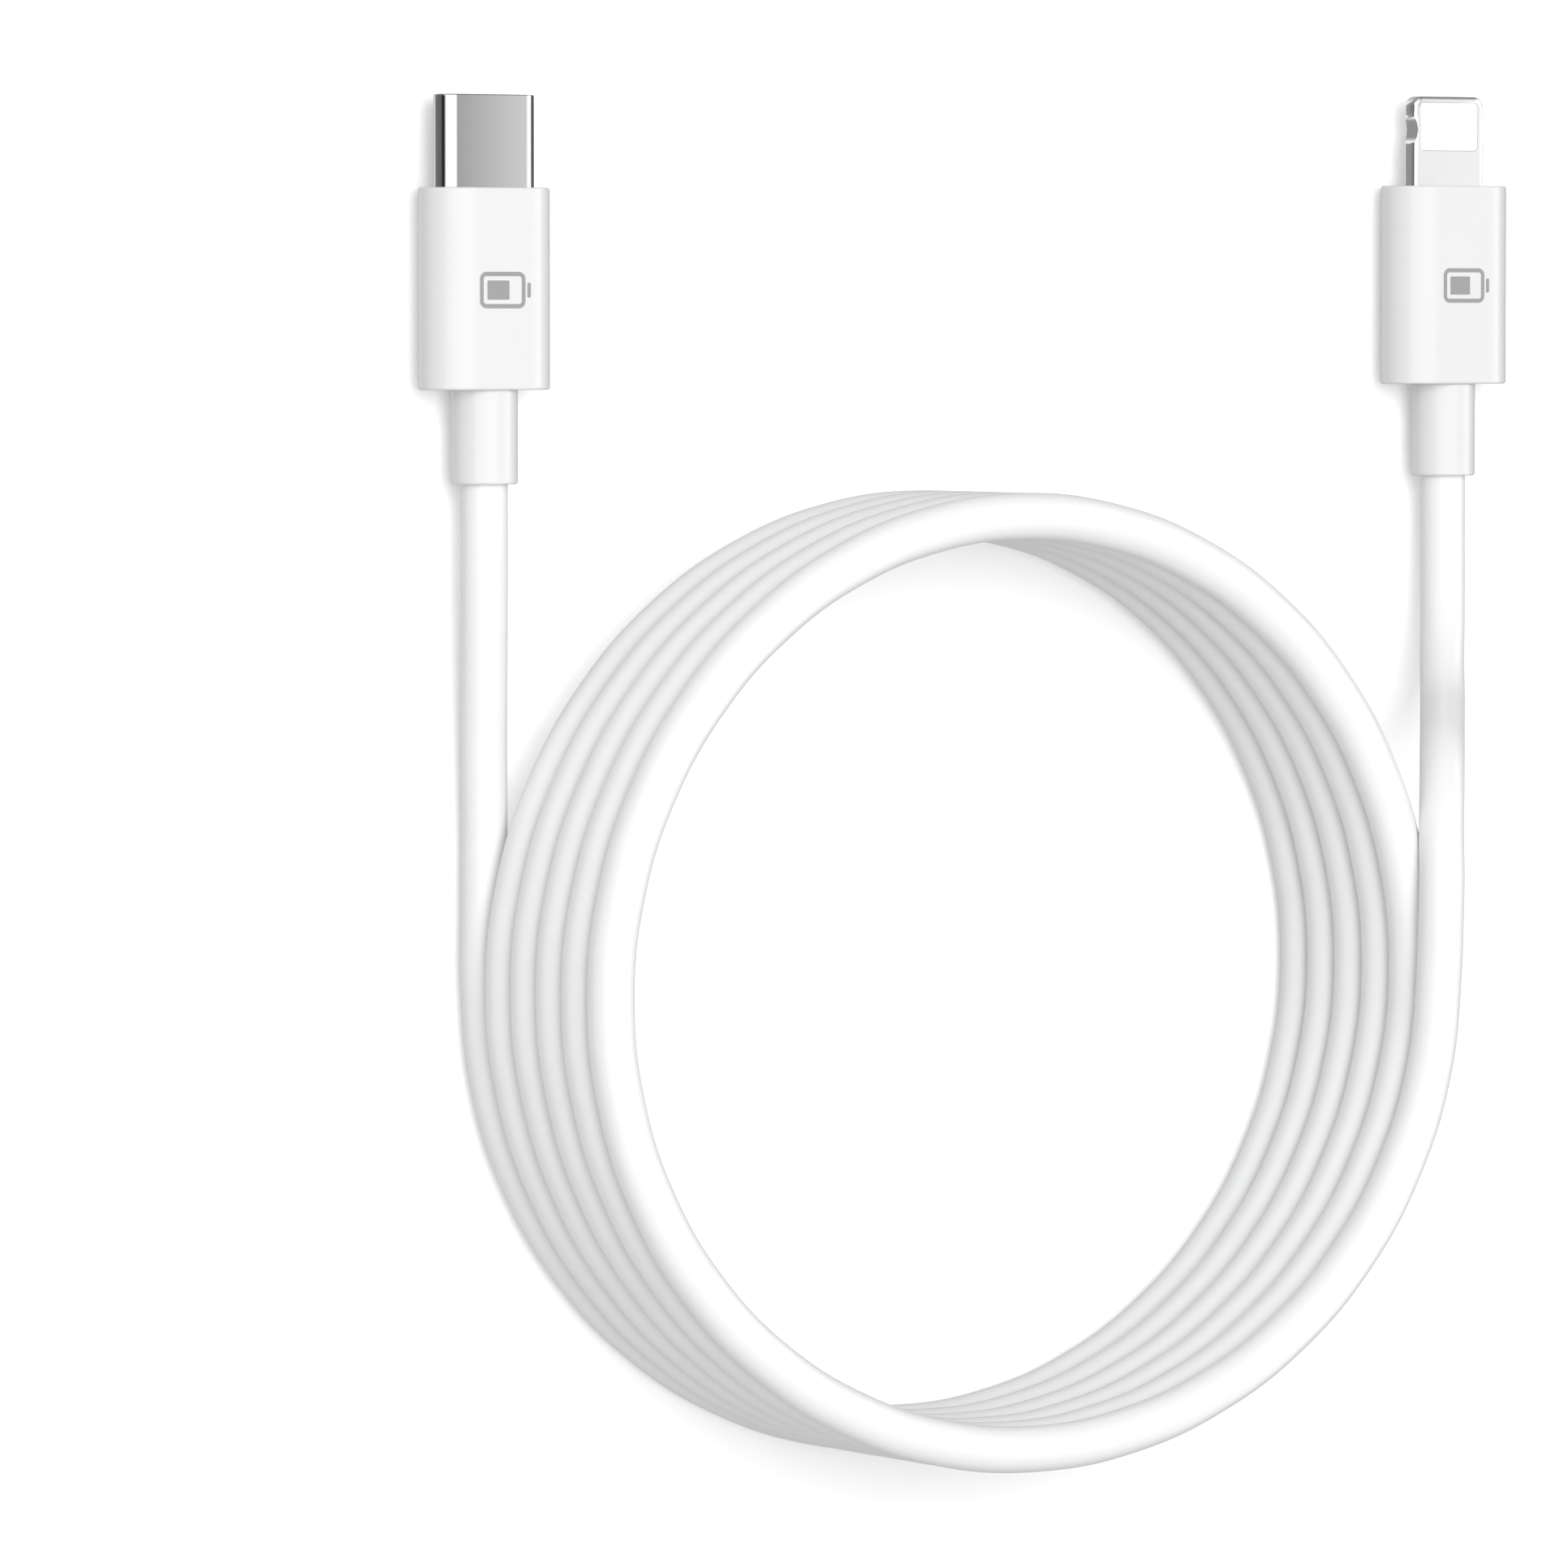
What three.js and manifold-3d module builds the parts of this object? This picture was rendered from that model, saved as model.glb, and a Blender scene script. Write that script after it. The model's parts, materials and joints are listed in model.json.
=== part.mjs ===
// A charging cable: a USB-C plug and an eight-contact tab plug on one round cord, wound into a coil
// that lies flat on a surface. Millimetres, +Z up. The origin is the middle of the part's footprint.
//
// Each plug is built in its own frame: +Y is the way it goes in, X is across its width, Z is through
// its thickness, and y = 0 is the front face of its housing. The coil's frame has its axis on +Z.
import * as THREE from "three";
import { mergeVertices } from "three/addons/utils/BufferGeometryUtils.js";
import Module from "manifold-3d";

const wasm = await Module();
wasm.setup();

// ---------- driving dimensions ----------

// Clearances: between nested pieces, and between the faces of pieces that meet.
const FIT_GAP = 0.1;
const FACE_GAP = 0.3;

// How finely round shapes are cut.
const ROUND_SIDES = 32;
const CORNER_STEPS = 8;
const BEVEL_STEPS = 2;

// How far a cutting shape runs past the piece that it cuts.
const OVERCUT = 1;

// The cord and its coil. The half widths are measured to the middle of the cord.
const CORD_D = 3.5;
const CORD_SIDES = 8;
const COIL_HALF_X = 37.1;
const COIL_HALF_Y = 35.0;
const COIL_RISES = 5;
const TURN_SLACK = 0.18;
const COIL_CORNER_R = 0.6;
const COIL_CORNER_STEPS = 3;
const COIL_SIDES = 56;

// The two loose ends of the cord, from the coil to the plug: the middle of the cord, chosen by hand,
// with X measured outwards from the side of the coil. The first lies on the surface. The second
// comes off the top of the coil and down to the surface.
const USBC_TAIL = [
  [0, 0, 1.75],
  [0, 6, 1.75],
  [0, 12, 1.8],
  [0.2, 18, 2.1],
  [0.5, 25, 2.7],
  [0.65, 31, 3],
  [0.65, 37.2, 3],
];
const TAB_TAIL = [
  [0.1, 0, 20.15],
  [0.15, 4, 20.15],
  [0.4, 7, 19.9],
  [0.9, 10, 19.1],
  [2, 13, 17.6],
  [3.8, 16, 15.1],
  [6.3, 18.1, 11.6],
  [8.8, 20.2, 8.1],
  [10.6, 23.2, 5.5],
  [11.7, 26.2, 4],
  [12.2, 29.2, 3.3],
  [12.4, 32.2, 3],
  [12.4, 37.2, 3],
];
const TAIL_STEP = 2.7;

// What the two plugs share, from the housing inwards.
const FRONT_WALL = 1.2;
const FACE_WALL = 1.1;
const HOUSING_BEVEL = 0.25;
const CAN_LENGTH = 9.2;
const CAN_WALL = 0.2;
const CAN_CORNER_R = 1.3;
const CRIMP_WALL = 0.35;
const CRIMP_LENGTH = 3.6;
const RELIEF_WALL = 0.65;

// The board, and the four wires that reach it through a moulded block.
const BOARD_T = 0.6;
const WIRE_D = 0.9;
const WIRE_SPREAD = 1.3;
const WIRE_STEPS = 10;
const WIRE_RAMP = 2;
const WIRE_LANDING = 1.2;
const WIRE_HOLE_INSET = 0.3;
const MOULD_LENGTH = 1.2;

// The USB-C plug. The shell's 8.25 x 2.40 is the connector's standard size.
const SHELL_WIDTH = 8.25;
const SHELL_HEIGHT = 2.4;
const SHELL_WALL = 0.25;
const SHELL_REACH = 6.9;
const SHELL_TAIL = 3.4;
const USBC_CAN_ROOM = { beside: 0.1, over: 0.4 };
const USBC_BOARD_INSET = 0.425;
const CARRIER_SIDE = 0.375;
const SLOT_HEIGHT = 1.2;
const SLOT_CORNER_R = 0.5;
const USBC_CONTACTS = 12;
const USBC_CONTACT_PITCH = 0.5;
const USBC_CONTACT_WIDTH = 0.25;
const USBC_CONTACT_RECESS = 0.5;
const USBC_CONTACT_TAIL = 1.4;
const CONTACT_T = 0.13;
const STRIP_SETBACK = 0.4;
const STRIP_LENGTH = 0.4;

// The USB-C plug's latch.
const LATCH_T = 0.24;
const LATCH_SETBACK = 0.3;
const LATCH_BRIDGE = 0.9;
const ARM_WIDTH = 0.2;
const HOOK_WIDTH = 0.45;
const HOOK_LENGTH = 0.7;
const HOOK_SETBACK = 1.5;

// The tab plug. The tab's 6.7 x 1.5 is the connector's standard size, and its width is the width of
// the window and two rails.
const TAB_THICKNESS = 1.5;
const TAB_OPENING_R = 0.35;
const TAB_REACH = 7.0;
const TAB_TIP_R = 0.8;
const TAB_EDGE = 0.12;
const RAIL_WIDTH = 0.6;
const FLANGE_WIDTH = 7.8;
const FLANGE_HEIGHT = 2.2;
const FLANGE_LENGTH = 1.7;
const FLANGE_CORNER_R = 0.3;
const NOTCH_R = 2.0;
const NOTCH_DEPTH = 0.35;
const NOTCH_FROM_TIP = 2.6;
const WINDOW_WIDTH = 5.5;
const WINDOW_LENGTH = 3.8;
const WINDOW_FROM_TIP = 0.45;
const WINDOW_R = 0.4;
const INSERT_SIDE_WALL = 0.16;
const INSERT_END_WALL = 0.3;
const TAB_CONTACTS = 8;
const TAB_CONTACT_GAP = 0.22;
const TAB_CAN_ROOM = { beside: 0.325, over: 0.5 };
const TAB_BOARD_INSET = 0.35;
const TRAY_DEPTH = 0.3;
const TRAY_STRIP_T = 0.1;
const PAD_RECESS = 0.03;

// The parts soldered on the boards: how far across, in front of the wires, and their sizes.
const RESISTOR = { across: -0.5, ahead: 0.5, size: [1.0, 0.5, 0.35] };
const USBC_CAPACITOR = { across: 1.4, ahead: 0.3, size: [1.0, 0.6, 0.5] };
const CONTROLLER_CHIP = { across: -1.5, ahead: 0.7, size: [2.4, 2.2, 0.7] };
const TAB_CAPACITOR = { across: 1.4, ahead: 1.2, size: [0.7, 1.2, 0.5] };

const WINDOW_BACK = TAB_REACH - WINDOW_FROM_TIP - WINDOW_LENGTH;

// What differs between the two plugs. The nose passes through the housing's front wall. The can goes
// round the widest piece of metal behind that wall, with room beside it and over it.
const USBC = {
  name: "usb_c",
  sideWall: 0.675,
  rearWall: 0.6,
  reliefLength: 6.9,
  noseWidth: SHELL_WIDTH,
  noseHeight: SHELL_HEIGHT,
  noseRadius: SHELL_HEIGHT / 2,
  canWidth: SHELL_WIDTH + 2 * (USBC_CAN_ROOM.beside + CAN_WALL),
  canHeight: SHELL_HEIGHT + 2 * (USBC_CAN_ROOM.over + CAN_WALL),
  boardWidth: SHELL_WIDTH - 2 * USBC_BOARD_INSET,
  boardFront: -SHELL_TAIL - CAN_WALL,
};
const TAB = {
  name: "tab",
  sideWall: 0.825,
  rearWall: 1.1,
  reliefLength: 7.1,
  noseWidth: WINDOW_WIDTH + 2 * RAIL_WIDTH,
  noseHeight: TAB_THICKNESS,
  noseRadius: TAB_OPENING_R,
  canWidth: FLANGE_WIDTH + 2 * (TAB_CAN_ROOM.beside + CAN_WALL),
  canHeight: FLANGE_HEIGHT + 2 * (TAB_CAN_ROOM.over + CAN_WALL),
  boardWidth: WINDOW_WIDTH - 2 * TAB_BOARD_INSET,
  boardFront: WINDOW_BACK + FIT_GAP - FACE_GAP,
};

// ---------- materials ----------

const FINISHES = {
  housing: { color: 0xf2f2f2, roughness: 0.25, metalness: 0 },
  jacket: { color: 0xe9e9ea, roughness: 0.45, metalness: 0 },
  steel: { color: 0xc4c6c8, roughness: 0.22, metalness: 1 },
  tin: { color: 0xa9acaf, roughness: 0.45, metalness: 1 },
  carrier: { color: 0x2a2b2d, roughness: 0.5, metalness: 0 },
  insert: { color: 0xf4f4f2, roughness: 0.4, metalness: 0 },
  gold: { color: 0xd9b25c, roughness: 0.3, metalness: 1 },
  palladium: { color: 0xd6d7d6, roughness: 0.3, metalness: 1 },
  board: { color: 0x1d5a38, roughness: 0.6, metalness: 0 },
  chip: { color: 0x1b1c1e, roughness: 0.55, metalness: 0 },
  ceramic: { color: 0x9c7f5c, roughness: 0.6, metalness: 0 },
  mould: { color: 0xd8d8d0, roughness: 0.6, metalness: 0 },
  wire_red: { color: 0xb3241f, roughness: 0.5, metalness: 0 },
  wire_black: { color: 0x18181a, roughness: 0.5, metalness: 0 },
  wire_white: { color: 0xe6e6e2, roughness: 0.5, metalness: 0 },
  wire_green: { color: 0x1e7a3c, roughness: 0.5, metalness: 0 },
};

// ---------- shapes ----------

// Points nearer than this are one point.
const MERGE = 1e-4;

// A closed three.js geometry as a solid that can be joined and cut.
function solid(geometry) {
  const bare = geometry.index ? geometry.toNonIndexed() : geometry.clone();
  bare.deleteAttribute("normal");
  bare.deleteAttribute("uv");
  const merged = mergeVertices(bare, MERGE);
  const mesh = new wasm.Mesh({
    numProp: 3,
    vertProperties: merged.attributes.position.array,
    triVerts: new Uint32Array(merged.index.array),
  });
  return new wasm.Manifold(mesh);
}

// A solid back as a flat-shaded three.js geometry.
function geometryOf(body) {
  const mesh = body.getMesh();
  const indexed = new THREE.BufferGeometry();
  indexed.setAttribute("position", new THREE.BufferAttribute(mesh.vertProperties, 3));
  indexed.setIndex(new THREE.BufferAttribute(mesh.triVerts, 1));
  const flat = indexed.toNonIndexed();
  flat.computeVertexNormals();
  return flat;
}

// A box from its two corners.
function block([x0, y0, z0], [x1, y1, z1]) {
  const box = new THREE.BoxGeometry(x1 - x0, y1 - y0, z1 - z0);
  box.translate((x0 + x1) / 2, (y0 + y1) / 2, (z0 + z1) / 2);
  return solid(box);
}

// A round bar along Y.
function rod(diameter, y0, y1, sides = ROUND_SIDES) {
  const bar = new THREE.CylinderGeometry(diameter / 2, diameter / 2, y1 - y0, sides);
  bar.translate(0, (y0 + y1) / 2, 0);
  return solid(bar);
}

// A rectangle with round corners. A radius of half the height makes it a stadium. Points that fall
// together, where two corners meet, are kept once.
function roundedRectangle(width, height, radius, cornerSteps = CORNER_STEPS) {
  const points = [];
  for (let corner = 0; corner < 4; corner += 1) {
    const cx = (corner === 0 || corner === 3 ? 1 : -1) * (width / 2 - radius);
    const cy = (corner < 2 ? 1 : -1) * (height / 2 - radius);
    for (let i = 0; i <= cornerSteps; i += 1) {
      const angle = ((corner + i / cornerSteps) * Math.PI) / 2;
      const point = new THREE.Vector2(cx + radius * Math.cos(angle), cy + radius * Math.sin(angle));
      if (!points.some((other) => other.distanceTo(point) < MERGE)) points.push(point);
    }
  }
  return new THREE.Shape(points);
}

// A bar along Y with a rounded rectangular section, its end edges bevelled if asked.
function bar(width, height, radius, y0, y1, bevel = 0) {
  const shape = roundedRectangle(width, height, radius);
  const made = new THREE.ExtrudeGeometry(shape, {
    depth: y1 - y0 - 2 * bevel,
    bevelEnabled: bevel > 0,
    bevelThickness: bevel,
    bevelSize: bevel,
    bevelOffset: -bevel,
    bevelSegments: BEVEL_STEPS,
  });
  made.rotateX(Math.PI / 2);
  made.translate(0, y1 - bevel, 0);
  return solid(made);
}

// A tube of cord or wire along a smooth curve through its points.
function sweep(points, diameter, steps, sides = CORD_SIDES) {
  const section = new THREE.Shape();
  for (let i = 0; i < sides; i += 1) {
    const angle = ((i + 0.5) / sides) * 2 * Math.PI;
    const corner = [(diameter / 2) * Math.cos(angle), (diameter / 2) * Math.sin(angle)];
    if (i === 0) section.moveTo(...corner);
    else section.lineTo(...corner);
  }
  section.closePath();
  const extrudePath = new THREE.CatmullRomCurve3(points.map((p) => new THREE.Vector3(...p)));
  return solid(new THREE.ExtrudeGeometry(section, { steps, extrudePath, bevelEnabled: false }));
}

function addPart(group, name, finish, body) {
  const mesh = new THREE.Mesh(geometryOf(body), new THREE.MeshStandardMaterial(FINISHES[finish]));
  mesh.name = name;
  group.add(mesh);
  return mesh;
}

// ---------- the plug bodies that both ends share ----------

// Places along a plug, from the can back to the cord's jacket.
const CAN_FRONT = -(FRONT_WALL + FIT_GAP);
const CAN_BACK = CAN_FRONT - CAN_LENGTH;
const CAN_FLOOR = CAN_BACK + CAN_WALL;
const CRIMP_FRONT = CAN_BACK - FACE_GAP;
const CRIMP_BACK = CRIMP_FRONT - CRIMP_LENGTH;
const JACKET_FRONT = CRIMP_FRONT - FACE_GAP;
const WIRE_TIP = CAN_FLOOR + WIRE_RAMP + WIRE_LANDING;

// Round sizes around the cord.
const BORE_D = CORD_D + 2 * FIT_GAP;
const CRIMP_D = BORE_D + 2 * CRIMP_WALL;
const RELIEF_D = BORE_D + 2 * RELIEF_WALL;

// Sizes of one plug's housing, which is as large as its can and walls make it.
function housingSize(plug) {
  return {
    width: plug.canWidth + 2 * (FIT_GAP + plug.sideWall),
    height: plug.canHeight + 2 * (FIT_GAP + FACE_WALL),
    length: plug.rearWall - CRIMP_BACK,
  };
}

// The moulded housing: a nose opening, a chamber for the can, and a bore for the crimped cord.
function housing(plug) {
  const { width, height, length } = housingSize(plug);
  const outer = bar(width, height, height / 2, -length, 0, HOUSING_BEVEL);
  const nose = bar(
    plug.noseWidth + 2 * FIT_GAP,
    plug.noseHeight + 2 * FIT_GAP,
    plug.noseRadius + FIT_GAP,
    -FRONT_WALL - OVERCUT,
    OVERCUT,
  );
  const chamber = bar(
    plug.canWidth + 2 * FIT_GAP,
    plug.canHeight + 2 * FIT_GAP,
    CAN_CORNER_R + FIT_GAP,
    CAN_BACK - FIT_GAP,
    -FRONT_WALL,
  );
  const bore = rod(CRIMP_D + 2 * FIT_GAP, -length - OVERCUT, CAN_BACK);
  return outer.subtract(nose).subtract(chamber).subtract(bore);
}

// The folded metal can around the board, open at the nose, with a hole for the wires at the back.
function shieldCan(plug) {
  const outer = bar(plug.canWidth, plug.canHeight, CAN_CORNER_R, CAN_BACK, CAN_FRONT);
  const inner = bar(
    plug.canWidth - 2 * CAN_WALL,
    plug.canHeight - 2 * CAN_WALL,
    CAN_CORNER_R - CAN_WALL,
    CAN_FLOOR,
    CAN_FRONT + OVERCUT,
  );
  const wireHole = rod(CORD_D - 2 * WIRE_HOLE_INSET, CAN_BACK - OVERCUT, CAN_FLOOR + OVERCUT);
  return outer.subtract(inner).subtract(wireHole);
}

// One half of the can, above or below its middle plane.
function halfCan(plug, side) {
  const reach = Math.max(plug.canWidth, plug.canHeight, CAN_LENGTH) + OVERCUT;
  const [low, high] = [(side * FIT_GAP) / 2, side * reach].sort((a, b) => a - b);
  const keep = block([-reach, CAN_BACK - OVERCUT, low], [reach, CAN_FRONT + OVERCUT, high]);
  return shieldCan(plug).intersect(keep);
}

// The four insulated conductors, from the end of the jacket to the two faces of the board.
const WIRES = [
  { name: "wire_red", side: -1, face: 1 },
  { name: "wire_green", side: 1, face: 1 },
  { name: "wire_black", side: -1, face: -1 },
  { name: "wire_white", side: 1, face: -1 },
];
const WIRE_BUNDLE = WIRE_D / 2 + FIT_GAP;
const WIRE_HEIGHT = BOARD_T / 2 + FIT_GAP + WIRE_D / 2;

function wire({ side, face }, diameter) {
  const start = [side * WIRE_BUNDLE, JACKET_FRONT + FIT_GAP, face * WIRE_BUNDLE];
  const leave = [side * WIRE_BUNDLE, CAN_FLOOR, face * WIRE_BUNDLE];
  const arrive = [side * WIRE_SPREAD, CAN_FLOOR + WIRE_RAMP, face * WIRE_HEIGHT];
  const end = [side * WIRE_SPREAD, WIRE_TIP, face * WIRE_HEIGHT];
  return sweep([start, leave, arrive, end], diameter, WIRE_STEPS);
}

// The moulded block in the back of the can that keeps the four wires apart.
function wireBlock(plug) {
  const back = CAN_FLOOR + FIT_GAP;
  const inset = CAN_WALL + FIT_GAP;
  let made = bar(
    plug.canWidth - 2 * inset,
    plug.canHeight - 2 * inset,
    CAN_CORNER_R - inset,
    back,
    back + MOULD_LENGTH,
  );
  for (const one of WIRES) made = made.subtract(wire(one, WIRE_D + 2 * FIT_GAP));
  return made;
}

function board(plug) {
  const back = CAN_FLOOR + 2 * FIT_GAP + MOULD_LENGTH;
  const half = plug.boardWidth / 2;
  return block([-half, back, -BOARD_T / 2], [half, plug.boardFront, BOARD_T / 2]);
}

// A part that stands on the board's upper face, in front of the wires.
function onBoard({ across, ahead, size: [width, length, height] }) {
  const base = BOARD_T / 2 + FIT_GAP;
  const back = WIRE_TIP + ahead;
  return block([across, back, base], [across + width, back + length, base + height]);
}

function addSharedParts(group, plug) {
  const part = (name, finish, body) => addPart(group, `${plug.name}_${name}`, finish, body);
  const reliefFront = -housingSize(plug).length - FIT_GAP;
  const reliefBack = reliefFront - plug.reliefLength;
  const jacketBore = rod(BORE_D, reliefBack - OVERCUT, CRIMP_FRONT + OVERCUT);
  part("housing", "housing", housing(plug));
  part("strain_relief", "housing", rod(RELIEF_D, reliefBack, reliefFront).subtract(jacketBore));
  part("shield_upper", "tin", halfCan(plug, 1));
  part("shield_lower", "tin", halfCan(plug, -1));
  part("board", "board", board(plug));
  part("wire_block", "mould", wireBlock(plug));
  part("crimp_sleeve", "tin", rod(CRIMP_D, CRIMP_BACK, CRIMP_FRONT).subtract(jacketBore));
  part("jacket_end", "jacket", rod(CORD_D, reliefBack, JACKET_FRONT, CORD_SIDES * 2));
  for (const one of WIRES) part(one.name, one.name, wire(one, WIRE_D));
  return part;
}

// A row of contact fingers along Y, joined by the strip that carries them, above the middle plane.
function contactRow({ count, pitch, width, y0, y1, z0, z1 }, strip) {
  let row = strip;
  for (let i = 0; i < count; i += 1) {
    const x = (i - (count - 1) / 2) * pitch;
    row = row.add(block([x - width / 2, y0, z0], [x + width / 2, y1, z1]));
  }
  return row;
}

// ---------- the USB-C plug ----------

function usbcPlug() {
  const group = new THREE.Group();
  const part = addSharedParts(group, USBC);

  // The drawn steel shell, with a smaller stadium through it.
  const shellBack = -SHELL_TAIL;
  const shell = bar(SHELL_WIDTH, SHELL_HEIGHT, SHELL_HEIGHT / 2, shellBack, SHELL_REACH);
  const innerWidth = SHELL_WIDTH - 2 * SHELL_WALL;
  const innerHeight = SHELL_HEIGHT - 2 * SHELL_WALL;
  const innerRadius = innerHeight / 2;
  const hollow = bar(
    innerWidth,
    innerHeight,
    innerRadius,
    shellBack - OVERCUT,
    SHELL_REACH + OVERCUT,
  );
  part("shell", "steel", shell.subtract(hollow));

  // The moulded contact carrier inside the shell, with the slot for the socket's tongue.
  const carrierFront = SHELL_REACH - FACE_GAP;
  const carrierWidth = innerWidth - 2 * FIT_GAP;
  const carrier = bar(
    carrierWidth,
    innerHeight - 2 * FIT_GAP,
    innerRadius - FIT_GAP,
    shellBack,
    carrierFront,
  );
  const slotWidth = carrierWidth - 2 * CARRIER_SIDE;
  const slot = bar(
    slotWidth,
    SLOT_HEIGHT,
    SLOT_CORNER_R,
    shellBack - OVERCUT,
    carrierFront + OVERCUT,
  );
  part("contact_carrier", "carrier", carrier.subtract(slot));

  // Two rows of contact fingers in the slot, whose tails reach back over the board.
  const top = SLOT_HEIGHT / 2 - FIT_GAP;
  const row = {
    count: USBC_CONTACTS,
    pitch: USBC_CONTACT_PITCH,
    width: USBC_CONTACT_WIDTH,
    y0: shellBack - USBC_CONTACT_TAIL,
    y1: carrierFront - USBC_CONTACT_RECESS,
    z0: top - CONTACT_T,
    z1: top,
  };
  const stripHalf = slotWidth / 2 - HOOK_WIDTH;
  const stripBack = shellBack + STRIP_SETBACK;
  const strip = block(
    [-stripHalf, stripBack, row.z0],
    [stripHalf, stripBack + STRIP_LENGTH, row.z1],
  );
  part("contacts_upper", "gold", contactRow(row, strip));
  part("contacts_lower", "gold", contactRow(row, strip)).rotation.y = Math.PI;

  // The latch: a plate between the rows with a sprung arm and a hooked end down each side.
  const outer = slotWidth / 2 - FIT_GAP;
  const half = LATCH_T / 2;
  const back = shellBack + LATCH_SETBACK;
  const hookFront = carrierFront - HOOK_SETBACK;
  const down = (side, width, y0, y1) => {
    const [x0, x1] = [side * (outer - width), side * outer].sort((a, b) => a - b);
    return block([x0, y0, -half], [x1, y1, half]);
  };
  let latch = block([-outer, back, -half], [outer, back + LATCH_BRIDGE, half]);
  for (const side of [-1, 1]) {
    latch = latch.add(down(side, ARM_WIDTH, back, hookFront));
    latch = latch.add(down(side, HOOK_WIDTH, hookFront - HOOK_LENGTH, hookFront));
  }
  part("latch", "steel", latch);

  // The resistor that names the cable to the charger, and a capacitor beside it.
  part("resistor", "ceramic", onBoard(RESISTOR));
  part("capacitor", "ceramic", onBoard(USBC_CAPACITOR));
  return group;
}

// ---------- the tab plug ----------

// The tab's outline, thickened, its tip round-cornered and its edges bevelled.
function tabPlate(back) {
  const half = TAB.noseWidth / 2;
  const tipCentre = TAB_REACH - TAB_TIP_R;
  const outline = new THREE.Shape();
  outline.moveTo(-half, back);
  outline.lineTo(half, back);
  outline.absarc(half - TAB_TIP_R, tipCentre, TAB_TIP_R, 0, Math.PI / 2);
  outline.absarc(TAB_TIP_R - half, tipCentre, TAB_TIP_R, Math.PI / 2, Math.PI);
  const plate = new THREE.ExtrudeGeometry(outline, {
    depth: TAB_THICKNESS - 2 * TAB_EDGE,
    curveSegments: CORNER_STEPS,
    bevelThickness: TAB_EDGE,
    bevelSize: TAB_EDGE,
    bevelOffset: -TAB_EDGE,
    bevelSegments: BEVEL_STEPS,
  });
  plate.translate(0, 0, TAB_EDGE - TAB_THICKNESS / 2);
  return solid(plate);
}

// A plug of the window's shape, smaller all round by a gap.
function windowPlug(gap, depth) {
  const shape = roundedRectangle(WINDOW_WIDTH - 2 * gap, WINDOW_LENGTH - 2 * gap, WINDOW_R - gap);
  const made = new THREE.ExtrudeGeometry(shape, { depth, bevelEnabled: false });
  made.translate(0, WINDOW_BACK + WINDOW_LENGTH / 2, -depth / 2);
  return solid(made);
}

function tabPlug() {
  const group = new THREE.Group();
  const part = addSharedParts(group, TAB);
  const faceZ = TAB_THICKNESS / 2;
  const windowMiddle = WINDOW_BACK + WINDOW_LENGTH / 2;
  const through = TAB_THICKNESS + 2 * OVERCUT;

  // The plated frame: the tab with a flange behind the housing's wall, a slot for the board, a
  // retention notch in each side and a window for the contacts.
  const flangeFront = CAN_FRONT - FACE_GAP;
  const back = flangeFront - FLANGE_LENGTH;
  const flange = bar(FLANGE_WIDTH, FLANGE_HEIGHT, FLANGE_CORNER_R, back, flangeFront);
  const slotHalfX = TAB.boardWidth / 2 + FIT_GAP;
  const slotHalfZ = BOARD_T / 2 + FIT_GAP;
  const boardSlot = block(
    [-slotHalfX, back - OVERCUT, -slotHalfZ],
    [slotHalfX, WINDOW_BACK + FIT_GAP, slotHalfZ],
  );
  let frame = tabPlate(back).add(flange).subtract(boardSlot);
  for (const side of [-1, 1]) {
    const notch = new THREE.CylinderGeometry(NOTCH_R, NOTCH_R, through, ROUND_SIDES);
    notch.rotateX(Math.PI / 2);
    const axis = side * (TAB.noseWidth / 2 + NOTCH_R - NOTCH_DEPTH);
    notch.translate(axis, TAB_REACH - NOTCH_FROM_TIP, 0);
    frame = frame.subtract(solid(notch));
  }
  part("frame", "steel", frame.subtract(windowPlug(0, through)));

  // The moulded insert in the window, with a tray in each face for a row of contacts.
  const trayWidth = WINDOW_WIDTH - 2 * (FIT_GAP + INSERT_SIDE_WALL);
  const trayLength = WINDOW_LENGTH - 2 * (FIT_GAP + INSERT_END_WALL);
  let insert = windowPlug(FIT_GAP, TAB_THICKNESS);
  for (const face of [-1, 1]) {
    const [low, high] = [face * (faceZ - TRAY_DEPTH), face * (faceZ + OVERCUT)].sort((a, b) => a - b);
    const tray = block(
      [-trayWidth / 2, windowMiddle - trayLength / 2, low],
      [trayWidth / 2, windowMiddle + trayLength / 2, high],
    );
    insert = insert.subtract(tray);
  }
  part("contact_insert", "insert", insert);

  // The two rows of contact pads. A row stands on the thin strip that carries it, which fills the
  // tray but for a gap, and the pads keep as far from the strip's edges.
  const bed = faceZ - TRAY_DEPTH + FIT_GAP / 2;
  const stripX = trayWidth / 2 - FIT_GAP;
  const stripY = trayLength / 2 - FIT_GAP;
  const pitch = (2 * (stripX - FIT_GAP) + TAB_CONTACT_GAP) / TAB_CONTACTS;
  const row = {
    count: TAB_CONTACTS,
    pitch,
    width: pitch - TAB_CONTACT_GAP,
    y0: windowMiddle - stripY + FIT_GAP,
    y1: windowMiddle + stripY - FIT_GAP,
    z0: bed + TRAY_STRIP_T / 2,
    z1: faceZ - PAD_RECESS,
  };
  const strip = block(
    [-stripX, windowMiddle - stripY, bed],
    [stripX, windowMiddle + stripY, bed + TRAY_STRIP_T],
  );
  part("contacts_upper", "palladium", contactRow(row, strip));
  part("contacts_lower", "palladium", contactRow(row, strip)).rotation.y = Math.PI;

  // The controller chip that the phone talks to, and a capacitor beside it.
  part("controller_chip", "chip", onBoard(CONTROLLER_CHIP));
  part("capacitor", "ceramic", onBoard(TAB_CAPACITOR));
  return group;
}

// ---------- the cord ----------

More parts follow.
